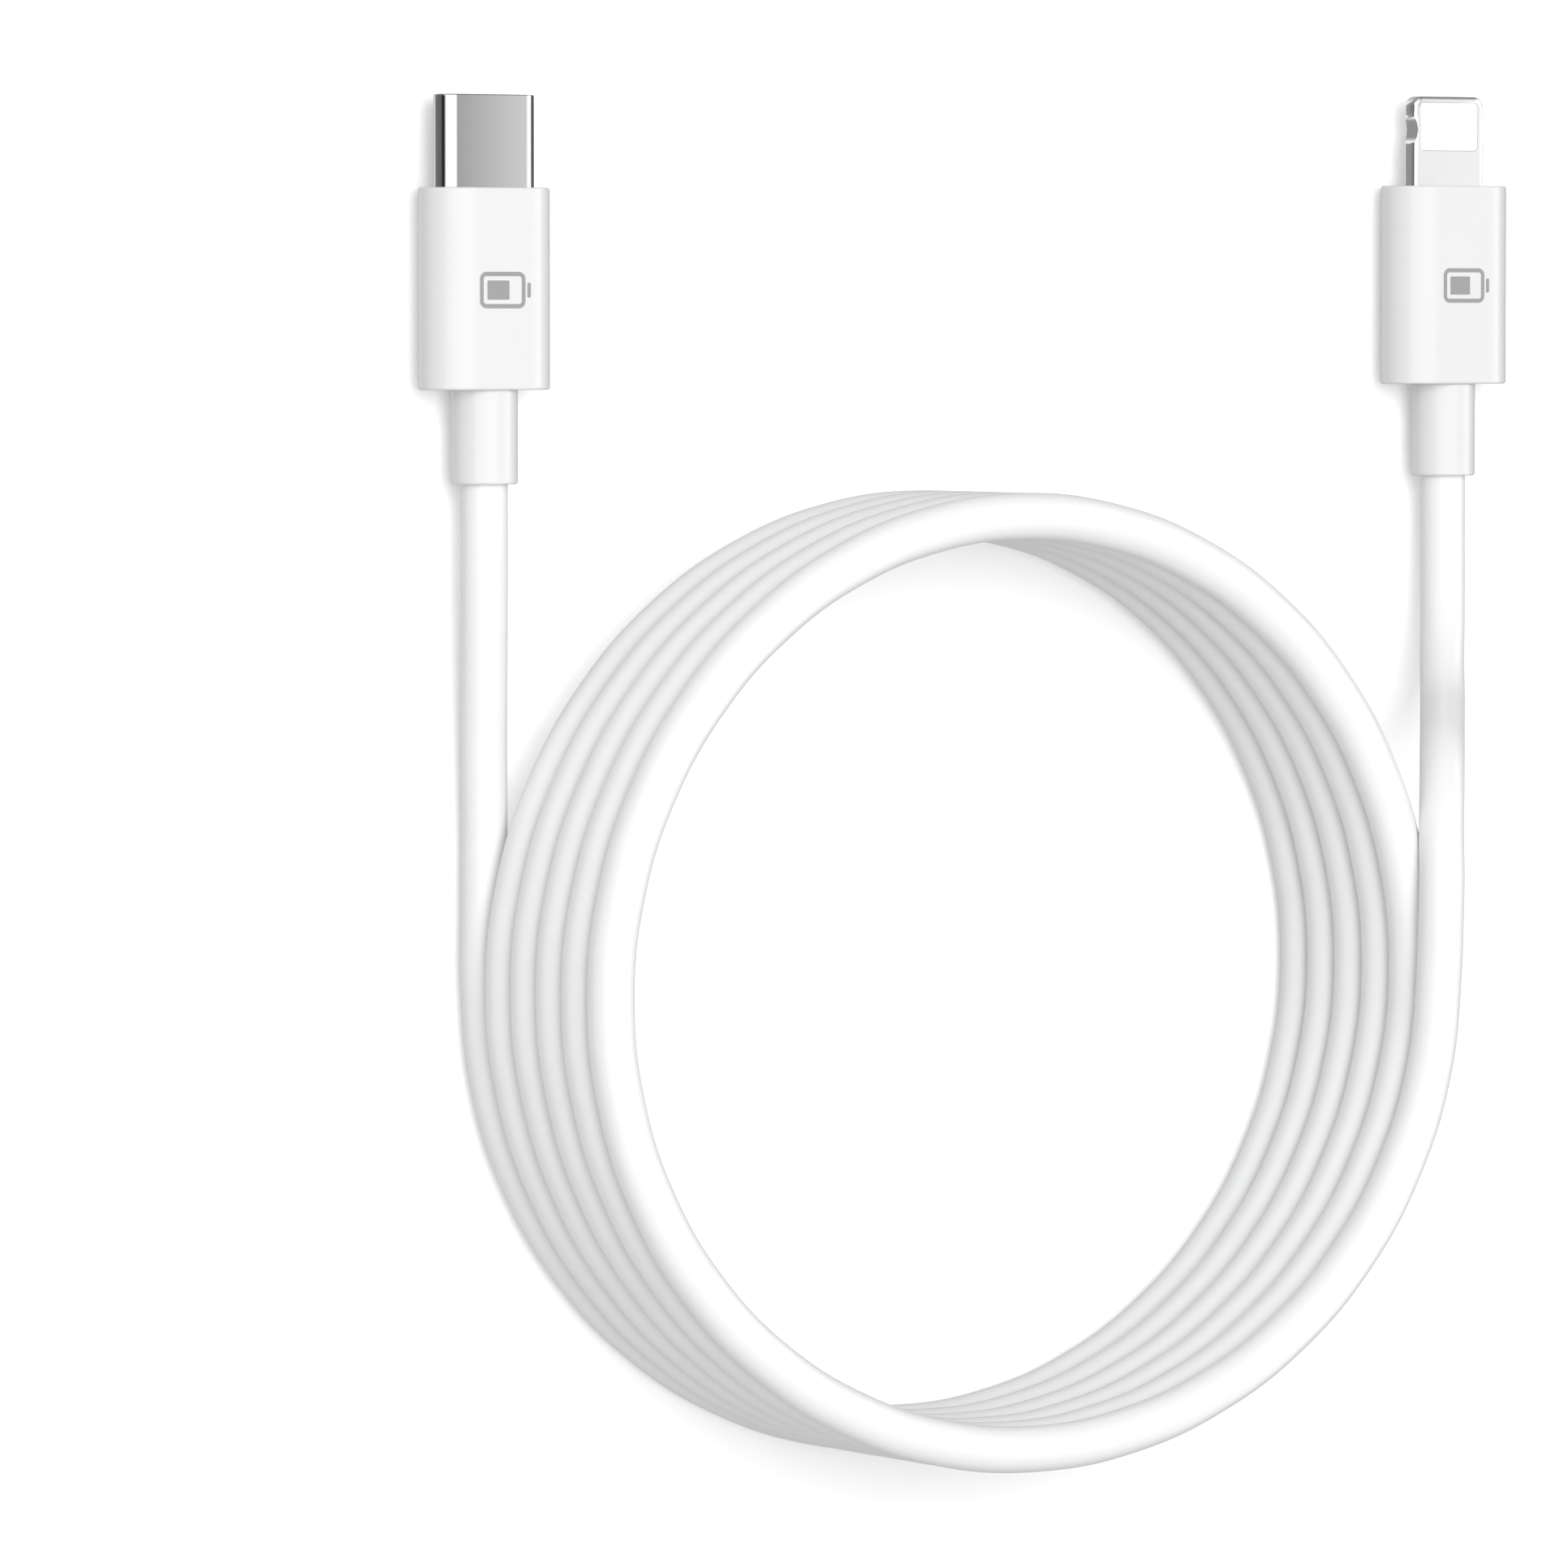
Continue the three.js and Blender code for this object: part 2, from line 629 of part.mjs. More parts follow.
// The wound turns as one ring, wide enough for the cord on every side and pulled slightly oval.
function coilRing(grow = 0) {
  const middle = (COIL_HALF_X + COIL_HALF_Y) / 2;
  const height = CORD_D + COIL_RISES * (CORD_D + TURN_SLACK);
  const section = roundedRectangle(
    CORD_D + 2 * grow,
    height + 2 * grow,
    COIL_CORNER_R + grow,
    COIL_CORNER_STEPS,
  );
  const profile = section.getPoints().map((p) => new THREE.Vector2(middle + p.x, p.y + height / 2));
  profile.push(profile[0].clone());
  const ring = new THREE.LatheGeometry(profile, COIL_SIDES);
  ring.rotateX(Math.PI / 2);
  ring.scale(COIL_HALF_X / middle, COIL_HALF_Y / middle, 1);
  return solid(ring);
}

// A loose end's points in the coil's frame, on the coil's left (-1) or right (1) side.
function beside(side, points) {
  return points.map(([x, y, z]) => [side * (COIL_HALF_X + x), y, z]);
}

// A loose end of the cord: the tube from inside the ring, less the room that the ring takes.
function tail(points) {
  const vectors = points.map((p) => new THREE.Vector3(...p));
  const length = vectors.slice(1).reduce((sum, v, i) => sum + v.distanceTo(vectors[i]), 0);
  return sweep(points, CORD_D, Math.ceil(length / TAIL_STEP)).subtract(coilRing(FACE_GAP));
}

// A plug's group, its strain relief meeting the end of its tail.
function placed(plug, group, points) {
  const [x, y, z] = points[points.length - 1];
  const reach = plug.reliefLength + FIT_GAP + housingSize(plug).length + FACE_GAP;
  group.position.set(x, y + reach, z);
  return group;
}

const usbcTail = beside(-1, USBC_TAIL);
const tabTail = beside(1, TAB_TAIL);
const cable = new THREE.Group();
addPart(cable, "cable_coil", "jacket", coilRing());
addPart(cable, "cable_tail_usb_c", "jacket", tail(usbcTail));
addPart(cable, "cable_tail_tab", "jacket", tail(tabTail));
cable.add(placed(USBC, usbcPlug(), usbcTail));
cable.add(placed(TAB, tabPlug(), tabTail));

// The part's origin is under the middle of its box, on the surface it lies on.
cable.updateMatrixWorld(true);
const box = new THREE.Box3().setFromObject(cable);
const middle = box.getCenter(new THREE.Vector3());
cable.position.set(-middle.x, -middle.y, -box.min.z);

export default cable;
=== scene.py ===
# %% [markdown]
# # A coiled charging cable
#
# The object is one round cord with a USB-C plug on one end and a flat, reversible tab plug on the
# other. It is wound into a coil that lies on a table. The imported CAD model gives every size and
# place. This lesson builds the looks around it, one piece at a time, in metres, with +Z up.
#
# The first cell loads the CAD model and keeps its box.

# %% Load the CAD frame
import json
import math
from collections import namedtuple

import bmesh
import bpy
from mathutils import Matrix, Vector


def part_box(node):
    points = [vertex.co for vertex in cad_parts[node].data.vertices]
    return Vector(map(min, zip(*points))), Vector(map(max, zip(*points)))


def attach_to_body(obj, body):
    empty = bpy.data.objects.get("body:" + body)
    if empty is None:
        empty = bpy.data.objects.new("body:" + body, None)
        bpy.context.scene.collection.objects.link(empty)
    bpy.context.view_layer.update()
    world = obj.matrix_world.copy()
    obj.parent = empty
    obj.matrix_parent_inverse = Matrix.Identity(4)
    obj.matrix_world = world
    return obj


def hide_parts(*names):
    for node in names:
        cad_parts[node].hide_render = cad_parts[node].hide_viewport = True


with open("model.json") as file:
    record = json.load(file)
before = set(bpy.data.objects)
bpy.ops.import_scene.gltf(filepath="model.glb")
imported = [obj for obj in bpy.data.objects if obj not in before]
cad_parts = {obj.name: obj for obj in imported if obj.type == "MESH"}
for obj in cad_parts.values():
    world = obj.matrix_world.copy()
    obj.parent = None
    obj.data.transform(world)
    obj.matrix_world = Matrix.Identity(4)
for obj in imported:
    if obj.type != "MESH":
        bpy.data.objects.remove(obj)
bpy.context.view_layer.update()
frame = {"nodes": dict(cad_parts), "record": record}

MM = 0.001
Box = namedtuple("Box", "size middle low high")


def box_of(node):
    """The size, the middle and the two corners of a CAD node's box."""
    low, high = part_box(node)
    return Box(high - low, (low + high) / 2, low, high)


def in_mm(values, digits=2):
    """Numbers in metres, rounded to millimetres for printing."""
    return [round(value / MM, digits) for value in values]


# %% [markdown]
# ## The camera
#
# A product shot needs three choices: where the camera stands, what it aims at and how long its
# lens is. A long lens flattens the perspective, so the far side of the coil looks nearly as large
# as the near side. The camera stands over the USB-C side of the coil and looks down at it. Its
# axes are worked out by hand, with +Y up in the picture, because both plugs point along +Y. A
# Track To constraint would do the same, but it chooses its own up direction when the view is
# this steep.

# %% Place the camera
coil_middle = box_of("cable_coil").middle

CAMERA_LENS = 242.8
CAMERA_SENSOR = 36.0
CAMERA_DISTANCE = 791.2 * MM
CAMERA_ELEVATION = math.radians(58.03)
CAMERA_SWING = math.radians(4.72)
CAMERA_AIM_FROM_COIL = Vector((-16.47, 15.01, 0)) * MM
NEAREST_SEEN, FARTHEST_SEEN = 10 * MM, 100

toward_camera = Vector((
    -math.cos(CAMERA_ELEVATION) * math.cos(CAMERA_SWING),
    math.cos(CAMERA_ELEVATION) * math.sin(CAMERA_SWING),
    math.sin(CAMERA_ELEVATION),
))
camera_right = Vector((0, 1, 0)).cross(toward_camera).normalized()
camera_up = toward_camera.cross(camera_right)

camera_data = bpy.data.cameras.new("product_camera")
camera_data.lens = CAMERA_LENS
camera_data.sensor_width = CAMERA_SENSOR
camera_data.clip_start = NEAREST_SEEN
camera_data.clip_end = FARTHEST_SEEN
camera = bpy.data.objects.new("product_camera", camera_data)
camera_axes = Matrix((camera_right, camera_up, toward_camera)).transposed().to_4x4()
camera_aim = coil_middle + CAMERA_AIM_FROM_COIL
camera.matrix_world = Matrix.Translation(camera_aim + toward_camera * CAMERA_DISTANCE) @ camera_axes
bpy.context.scene.collection.objects.link(camera)
bpy.context.scene.camera = camera
print("camera stands at, mm:", in_mm(camera.matrix_world.translation, 1))

# %% [markdown]
# ## The route of the cord
#
# A cord is a fixed length of something flexible, so its route comes before its surface. It could
# be drawn by hand in the viewport, or simulated as a rope. Here a formula winds the turns: each
# one lies flat for half its way, then climbs by the cord's thickness in a long low ramp, so that
# the next turn comes to rest on it. The two loose ends are short lists of given points: one leaves
# the bottom turn along the table, and the other comes down from the top turn to the table. Inside
# each plug the cord runs on, straight, as far as the crimp.

# %% Wind the turns and join the two loose ends to them
CORD_DIAMETER = 3.5 * MM

# The coil's own numbers and the two loose ends are in millimetres from the coil's middle.
COIL_HALF_X = 37.1
COIL_HALF_Y = 35.0
FIRST_HEIGHT = 1.75
TURN_RISE = 3.68
HALF_TURNS = 11
POINTS_PER_HALF_TURN = 14
CLIMB_STARTS, CLIMB_ENDS = 0.52, 0.93

USBC_END = [
    (-37.75, 37.2, 3.0),
    (-37.75, 31.0, 3.0),
    (-37.6, 25.0, 2.7),
    (-37.3, 18.0, 2.1),
    (-37.1, 12.0, 1.8),
    (-37.1, 6.0, 1.75),
]
TAB_END = [
    (37.25, 4.0, 20.15),
    (37.5, 7.0, 19.9),
    (38.0, 10.0, 19.1),
    (39.1, 13.0, 17.6),
    (40.9, 16.0, 15.1),
    (43.4, 18.1, 11.6),
    (45.9, 20.2, 8.1),
    (47.7, 23.2, 5.5),
    (48.8, 26.2, 4.0),
    (49.3, 29.2, 3.3),
    (49.5, 32.2, 3.0),
    (49.5, 37.2, 3.0),
]


def smooth_step(value):
    """0 below 0, 1 above 1, and an S-shaped ramp between them."""
    value = min(max(value, 0.0), 1.0)
    return value * value * (3 - 2 * value)


def coil_point(half_turns):
    """The middle of the cord after that many half turns, from the foot of the USB-C end."""
    whole, part = divmod(half_turns / 2, 1.0)
    climb = smooth_step((part - CLIMB_STARTS) / (CLIMB_ENDS - CLIMB_STARTS))
    angle = math.pi * (1 + half_turns)
    height = FIRST_HEIGHT + TURN_RISE * (whole + climb)
    return COIL_HALF_X * math.cos(angle), COIL_HALF_Y * math.sin(angle), height


turns = [coil_point(i / POINTS_PER_HALF_TURN) for i in range(HALF_TURNS * POINTS_PER_HALF_TURN + 1)]
coil_origin = Vector((coil_middle.x, coil_middle.y, 0))
cord_route = [coil_origin + Vector(point) * MM for point in USBC_END + turns + TAB_END]
for plug in ("usb_c", "tab"):
    end = box_of(plug + "_jacket_end")
    inside = [Vector((end.middle.x, y, end.middle.z)) for y in (end.high.y, end.middle.y)]
    cord_route = inside + cord_route if plug == "usb_c" else cord_route + inside[::-1]
print("cord route:", len(cord_route), "points")

# %% [markdown]
# ## The cord as a Geometry Nodes sweep
#
# A curve's own bevel would give the route its thickness in one setting. A small node tree does the
# same and gives more: it spaces the rings evenly along the cord, closes both ends, and writes down
# how far along and how far round each point is. The jacket's material needs those two numbers,
# because the faint lines of an extruded jacket run along the cord, whichever way it bends.
#
# The route is a Bezier curve with handles of the Auto kind, which pass smoothly through every
# point. Every input of the tree is a named socket, so the same tree would sweep any other cord.

# %% Helpers for objects and for baking modifiers
def add_object(name, data):
    """Link a new object that holds this data to the scene."""
    made = bpy.data.objects.new(name, data)
    bpy.context.scene.collection.objects.link(made)
    return made


def baked(source, name):
    """A plain mesh object with the source's modifiers applied. The source is removed."""
    graph = bpy.context.evaluated_depsgraph_get()
    mesh = bpy.data.meshes.new_from_object(source.evaluated_get(graph), depsgraph=graph)
    old_data = source.data
    bpy.data.objects.remove(source)
    (bpy.data.curves if isinstance(old_data, bpy.types.Curve) else bpy.data.meshes).remove(old_data)
    mesh.name = name
    return add_object(name, mesh)


def chain(tree, *steps):
    """Link each node's output to the next node's input: (node, output, node, input), ..."""
    for source, output, target, socket in steps:
        tree.links.new(source.outputs[output], target.inputs[socket])


def node_tree_group(name, kind, inputs, outputs):
    """A new node group with named sockets, given as (name, type) or (name, type, default)."""
    tree = bpy.data.node_groups.new(name, kind)
    for in_out, sockets in (("INPUT", inputs), ("OUTPUT", outputs)):
        for socket_name, socket_type, *default in sockets:
            socket = tree.interface.new_socket(socket_name, in_out=in_out, socket_type=socket_type)
            if default:
                socket.default_value = default[0]
    return tree, tree.nodes.new("NodeGroupInput"), tree.nodes.new("NodeGroupOutput")


def run_tree(made, tree, **values):
    """Add the tree to the object as a modifier and set its inputs by their sockets' identifiers."""
    modifier = made.modifiers.new(tree.name, "NODES")
    modifier.node_group = tree
    for item in tree.interface.items_tree:
        if item.in_out == "INPUT" and item.name.replace(" ", "_") in values:
            modifier[item.identifier] = values[item.name.replace(" ", "_")]
    return modifier


# %% The tree that sweeps a jacket along a route
RING_SPACING = 0.9 * MM
JACKET_SIDES = 28


def jacket_tree():
    """Curve in, closed tube out, with the attributes along and around, in metres and in turns."""
    tree, group_in, group_out = node_tree_group(
        "sweep_jacket", "GeometryNodeTree",
        [("Route", "NodeSocketGeometry"), ("Radius", "NodeSocketFloat", CORD_DIAMETER / 2),
         ("Ring Spacing", "NodeSocketFloat", RING_SPACING), ("Sides", "NodeSocketInt", JACKET_SIDES),
         ("Finish", "NodeSocketMaterial")],
        [("Jacket", "NodeSocketGeometry")],
    )
    nodes = tree.nodes
    even = nodes.new("GeometryNodeResampleCurve")
    even.mode = "LENGTH"
    section = nodes.new("GeometryNodeCurvePrimitiveCircle")
    sweep = nodes.new("GeometryNodeCurveToMesh")
    sweep.inputs["Fill Caps"].default_value = True
    smooth = nodes.new("GeometryNodeSetShadeSmooth")
    finish = nodes.new("GeometryNodeSetMaterial")
    real = nodes.new("GeometryNodeRealizeInstances")
    store = {}
    for label, curve in (("along", even), ("around", section)):
        measure = nodes.new("GeometryNodeSplineParameter")
        store[label] = nodes.new("GeometryNodeStoreNamedAttribute")
        store[label].inputs["Name"].default_value = label
        chain(tree, (measure, "Length" if label == "along" else "Factor", store[label], "Value"))
        chain(tree, (curve, "Curve", store[label], "Geometry"))
    chain(
        tree,
        (group_in, "Route", even, "Curve"),
        (group_in, "Ring Spacing", even, "Length"),
        (group_in, "Sides", section, "Resolution"),
        (group_in, "Radius", section, "Radius"),
        (store["along"], "Geometry", sweep, "Curve"),
        (store["around"], "Geometry", sweep, "Profile Curve"),
        (sweep, "Mesh", smooth, "Geometry"),
        (smooth, "Geometry", real, "Geometry"),
        (real, "Geometry", finish, "Geometry"),
        (group_in, "Finish", finish, "Material"),
        (finish, "Geometry", group_out, "Jacket"),
    )
    return tree

# %% [markdown]
# ## Grain, shared by every finish
#
# Nothing on a real cable is perfectly even. A moulded part carries the fine grain of its mould, a
# drawn metal part carries lines along the way it was drawn, and both scatter light unevenly. Two
# node groups make these effects once, and each material sets its own sizes. Each group puts out a
# colour, a roughness and a height that vary over the surface. The Principled shader and its plain
# values stay in the material.
#
# Sizes are given as the real size of one grain, so a scale is one over that size. The patterns
# read Object coordinates: every finished piece sits at the origin with its place in its mesh, so
# those coordinates are metres in the whole cable's own frame.

# %% The two shared groups
GRAIN_DETAIL, CLOUD_DETAIL = 2, 3


def noise_node(tree, detail, label):
    """A noise texture, named after what it makes."""
    noise = tree.nodes.new("ShaderNodeTexNoise")
    noise.label = label
    noise.inputs["Detail"].default_value = detail
    return noise


def math_node(tree, operation, label, *values):
    """A maths node, named after what it works out, with the plain numbers that it starts from."""
    made = tree.nodes.new("ShaderNodeMath")
    made.operation = operation
    made.label = label
    for socket, value in zip(made.inputs, values):
        if value is not None:
            socket.default_value = value
    return made


def spread_value(tree, group_in, source, middle, spread):
    """middle + (source - 0.5) * spread, with middle and spread read from the group's inputs."""
    centred = math_node(tree, "SUBTRACT", "around zero", None, 0.5)
    scaled = math_node(tree, "MULTIPLY_ADD", "around " + middle)
    tree.links.new(source, centred.inputs[0])
    tree.links.new(centred.outputs[0], scaled.inputs[0])
    tree.links.new(group_in.outputs[spread], scaled.inputs[1])
    tree.links.new(group_in.outputs[middle], scaled.inputs[2])
    return scaled.outputs[0]


def grain_group(name, stretched):
    """Grain of a given size. A stretched one is drawn out into lines along the Stretch vector."""
    inputs = [
        ("Colour", "NodeSocketColor", (0.8, 0.8, 0.8, 1)),
        ("Shade Spread", "NodeSocketFloat", 0.02),
        ("Roughness", "NodeSocketFloat", 0.4),
        ("Roughness Spread", "NodeSocketFloat", 0.06),
        ("Grain Size", "NodeSocketFloat", 0.2 * MM),
        ("Cloud Size", "NodeSocketFloat", 6 * MM),
    ]
    if stretched:
        inputs += [("Place", "NodeSocketVector"), ("Stretch", "NodeSocketVector", (1, 1, 1))]
    outputs = [
        ("Colour", "NodeSocketColor"), ("Roughness", "NodeSocketFloat"), ("Height", "NodeSocketFloat"),
    ]
    tree, group_in, group_out = node_tree_group(name, "ShaderNodeTree", inputs, outputs)
    if stretched:
        squeeze = tree.nodes.new("ShaderNodeVectorMath")
        squeeze.operation = "MULTIPLY"
        chain(tree, (group_in, "Place", squeeze, 0), (group_in, "Stretch", squeeze, 1))
        place = squeeze.outputs[0]
    else:
        place = tree.nodes.new("ShaderNodeTexCoord").outputs["Object"]
    grain = noise_node(tree, GRAIN_DETAIL, "grain")
    cloud = noise_node(tree, CLOUD_DETAIL, "cloud")
    for noise, size in ((grain, "Grain Size"), (cloud, "Cloud Size")):
        scale = math_node(tree, "DIVIDE", "scale from size", 1)
        chain(tree, (group_in, size, scale, 1))
        tree.links.new(scale.outputs[0], noise.inputs["Scale"])
        tree.links.new(place, noise.inputs["Vector"])
    shade = tree.nodes.new("ShaderNodeHueSaturation")
    centred = math_node(tree, "SUBTRACT", "cloud around zero", None, 0.5)
    lightness = math_node(tree, "MULTIPLY_ADD", "shade", None, None, 1)
    chain(
        tree,
        (cloud, "Fac", centred, 0),
        (centred, 0, lightness, 0),
        (group_in, "Shade Spread", lightness, 1),
        (lightness, 0, shade, "Value"),
        (group_in, "Colour", shade, "Color"),
        (shade, "Color", group_out, "Colour"),
        (grain, "Fac", group_out, "Height"),
    )
    rough = spread_value(tree, group_in, cloud.outputs["Fac"], "Roughness", "Roughness Spread")
    tree.links.new(rough, group_out.inputs["Roughness"])
    return tree


moulded_grain = grain_group("moulded_grain", stretched=False)
drawn_lines = grain_group("drawn_lines", stretched=True)
print("shared groups:", moulded_grain.name, "and", drawn_lines.name)

# %% [markdown]
# ## The finishes
#
# Each finish is one short call: its colour, how rough it is, how large its grain is and how deep.
# Depth goes to a Bump node inside the material, in metres, so a micrometre of grain stays a
# micrometre. Plastics have a little clear gloss over a pale body. Metals have no body colour of
# their own, so they show the studio around them, and their drawn lines soften it along one way.
#
# Most of these finishes belong to parts inside the plugs. They show when the model is cut open, or
# when its pieces are taken apart.

# %% Build a finish
MICRON = 1e-6
PLASTIC_IOR = 1.46


def grey(level):
    """A neutral colour."""
    return (level, level, level, 1)


def finish(
    name, colour, roughness, grain, depth, metal=0.0, shade=0.02, uneven=0.06, cloud=6 * MM, along=None,
):
    """A Principled material whose colour, roughness and bump come from one of the two groups.

    grain, depth and cloud are lengths. shade and uneven say how far the colour and the roughness
    wander. along stretches the grain into lines, by its size on each axis.
    """
    material = bpy.data.materials.new(name)
    material.use_nodes = True
    tree = material.node_tree
    shader = tree.nodes["Principled BSDF"]
    shader.inputs["Metallic"].default_value = metal
    shader.inputs["IOR"].default_value = PLASTIC_IOR
    surface = tree.nodes.new("ShaderNodeGroup")
    surface.node_tree = drawn_lines if along else moulded_grain
    surface.inputs["Colour"].default_value = colour
    surface.inputs["Shade Spread"].default_value = shade
    surface.inputs["Roughness"].default_value = roughness
    surface.inputs["Roughness Spread"].default_value = uneven
    surface.inputs["Grain Size"].default_value = grain
    surface.inputs["Cloud Size"].default_value = cloud
    if along:
        surface.inputs["Stretch"].default_value = along
        place = tree.nodes.new("ShaderNodeTexCoord")
        tree.links.new(place.outputs["Object"], surface.inputs["Place"])
    bump = tree.nodes.new("ShaderNodeBump")
    bump.inputs["Distance"].default_value = depth
    bump.inputs["Strength"].default_value = 1
    chain(
        tree,
        (surface, "Height", bump, "Height"),
        (surface, "Colour", shader, "Base Color"),
        (surface, "Roughness", shader, "Roughness"),
        (bump, "Normal", shader, "Normal"),
    )
    return material


# %% The finishes, by the record's slots
ALONG_PLUG = (1, 0.04, 1)


def plastic(name, colour, roughness, grain, microns, **more):
    """A moulded or printed finish, its grain in millimetres and its depth in micrometres."""
    return finish(name, colour, roughness, grain * MM, microns * MICRON, **more)


def metal(name, colour, roughness, grain, microns):
    """A drawn or rolled metal finish in the same units, whose lines run along the plug."""
    return finish(name, colour, roughness, grain * MM, microns * MICRON, metal=1, along=ALONG_PLUG)


FINISHES = {
    "housing": plastic("gloss_white_housing", (0.8, 0.803, 0.805, 1), 0.24, 0.25, 0.4, uneven=0.03),
    "steel": metal("drawn_steel", grey(0.56), 0.14, 0.05, 0.15),
    "plated": metal("plated_tab", grey(0.8), 0.12, 0.05, 0.1),
    "ink": plastic("grey_ink", grey(0.33), 0.5, 0.05, 1, shade=0.08, cloud=0.4 * MM),
    "tin": metal("tinned_sheet", grey(0.6), 0.38, 0.12, 1),
    "carrier": plastic("black_carrier", grey(0.022), 0.42, 0.15, 1.5),
    "insert": plastic("matt_white_insert", grey(0.93), 0.42, 0.12, 0.6),
    "gold": metal("gold_contact", (0.86, 0.62, 0.27, 1), 0.24, 0.06, 0.3),
    "palladium": metal("pale_contact", (0.94, 0.94, 0.93, 1), 0.46, 0.06, 0.3),
    "board": plastic("green_board", (0.02, 0.12, 0.045, 1), 0.35, 0.4, 2, shade=0.3, cloud=1.2 * MM),
    "chip": plastic("moulded_chip", grey(0.012), 0.5, 0.08, 2, shade=0.2),
    "ceramic": plastic(
        "ceramic_block", (0.42, 0.3, 0.19, 1), 0.45, 0.06, 1.5, shade=0.15, cloud=0.5 * MM,
    ),
    "mould": plastic("low_pressure_moulding", (0.62, 0.62, 0.56, 1), 0.5, 0.2, 3, shade=0.08),
    "wire_red": plastic("red_insulation", (0.5, 0.02, 0.015, 1), 0.38, 0.1, 1.5),
    "wire_black": plastic("black_insulation", grey(0.014), 0.38, 0.1, 1.5),
    "wire_white": plastic("white_insulation", (0.78, 0.78, 0.75, 1), 0.38, 0.1, 1.5),
    "wire_green": plastic("green_insulation", (0.015, 0.22, 0.05, 1), 0.38, 0.1, 1.5),
}
print("finishes:", len(FINISHES) + 1)

# %% [markdown]
# ## The jacket's finish, and the cord
#
# The jacket is a soft white plastic with a satin skin. It is squeezed through a round die, which
# leaves very faint lines along it, so its pattern reads the two numbers that the sweep wrote down:
# how far along the cord a point is, and how far round. The round number is turned into a place on
# a circle first, so that the pattern has no seam where one turn round the cord ends.

# %% Make the jacket's finish
ALONG_CORD = (1, 1, 0.05)


def jacket_finish():
    """Satin white with faint lines along the cord."""
    white = (0.9, 0.903, 0.905, 1)
    material = plastic("satin_white_jacket", white, 0.34, 0.16, 0.9, along=ALONG_CORD)
    tree = material.node_tree
    surface = next(node for node in tree.nodes if node.type == "GROUP")
    tree.nodes.remove(next(node for node in tree.nodes if node.type == "TEX_COORD"))
    along = tree.nodes.new("ShaderNodeAttribute")
    along.attribute_name = "along"
    around = tree.nodes.new("ShaderNodeAttribute")
    around.attribute_name = "around"
    angle = math_node(tree, "MULTIPLY", "turns to angle", None, math.tau)
    place = tree.nodes.new("ShaderNodeCombineXYZ")
    tree.links.new(around.outputs["Fac"], angle.inputs[0])
    for operation, axis in (("COSINE", "X"), ("SINE", "Y")):
        circle = math_node(tree, operation, "round the cord")
        radius = math_node(tree, "MULTIPLY", "on the surface", None, CORD_DIAMETER / 2)
        chain(tree, (angle, 0, circle, 0), (circle, 0, radius, 0), (radius, 0, place, axis))
    chain(tree, (along, "Fac", place, "Z"), (place, "Vector", surface, "Place"))
    return material


FINISHES["jacket"] = jacket_finish()

# %% Sweep the cord
STEPS_BETWEEN_KNOTS = 8


def bezier_curve(name, points):
    """A curve object of one smooth open line through the points."""
    curve = bpy.data.curves.new(name, "CURVE")
    curve.dimensions = "3D"
    curve.resolution_u = curve.render_resolution_u = STEPS_BETWEEN_KNOTS
    line = curve.splines.new("BEZIER")
    line.bezier_points.add(len(points) - 1)
    for knot, point in zip(line.bezier_points, points):
        knot.co = point
        knot.handle_left_type = knot.handle_right_type = "AUTO"
    return add_object(name, curve)


route = bezier_curve("cord_route", cord_route)
graph = bpy.context.evaluated_depsgraph_get()
route_mesh = bpy.data.meshes.new_from_object(route.evaluated_get(graph), depsgraph=graph)
cord_path = [vertex.co.copy() for vertex in route_mesh.vertices]
bpy.data.meshes.remove(route_mesh)
cord_length = sum((after - before).length for before, after in zip(cord_path, cord_path[1:]))
print("cord length, m:", round(cord_length, 4), "in", len(cord_path), "points")

run_tree(
    route, jacket_tree(), Radius=CORD_DIAMETER / 2, Ring_Spacing=RING_SPACING, Sides=JACKET_SIDES,
    Finish=FINISHES["jacket"],
)
cord = baked(route, "cord")
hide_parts("cable_coil", "cable_tail_usb_c", "cable_tail_tab", "usb_c_jacket_end", "tab_jacket_end")
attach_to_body(cord, "root")
print("cord:", len(cord.data.polygons), "faces")

# %% [markdown]
# ## Walls from rings
#
# Both plug housings, both strain reliefs, the steel shell and its black carrier are the same kind
# of shape: a wall round a hole, with soft edges, whose section only changes along one line. A
# Bevel modifier on a cut box could make them, but its edges go wrong where a hole's rim is nearly
# as thin as the bevel. Instead each wall is skinned from a list of rings, like a lathe for shapes
# that aren't round. A ring is a rectangle with round corners, so it can be a circle or a stadium
# too. The rings run over the outside, in through the front, down the hole and out at the back.

# %% Rings, rounded ends and rims
CORNER_STEPS = 12
FLAT_STEPS = 8
EDGE_STEPS = 5
SAME_POINT = 1e-7
SHARP_ANGLE = math.radians(35)


def ring_points(width, height, radius, crown=0.0):
    """Points of a rectangle with round corners, whose two wide faces may rise to a low crown.

    Every ring has as many points as the next one, so any two can be joined.
    """
    flat = width / 2 - radius
    points = []
    for quarter in range(4):
        middle_x = flat * (1 if quarter in (0, 3) else -1)
        side = 1 if quarter < 2 else -1
        for step in range(CORNER_STEPS + 1):
            angle = math.pi / 2 * (quarter + step / CORNER_STEPS)
            z = side * (height / 2 - radius) + radius * math.sin(angle)
            points.append((middle_x + radius * math.cos(angle), z))
        if quarter in (0, 2):
            for step in range(1, FLAT_STEPS):
                share = 1 - 2 * step / FLAT_STEPS
                points.append((side * share * flat, side * (height / 2 + crown * (1 - share * share))))
    return points


def grown(size, amount):
    """A section (width, height, corner radius) made larger all round."""
    width, height, radius = size
    return width + 2 * amount, height + 2 * amount, radius + amount


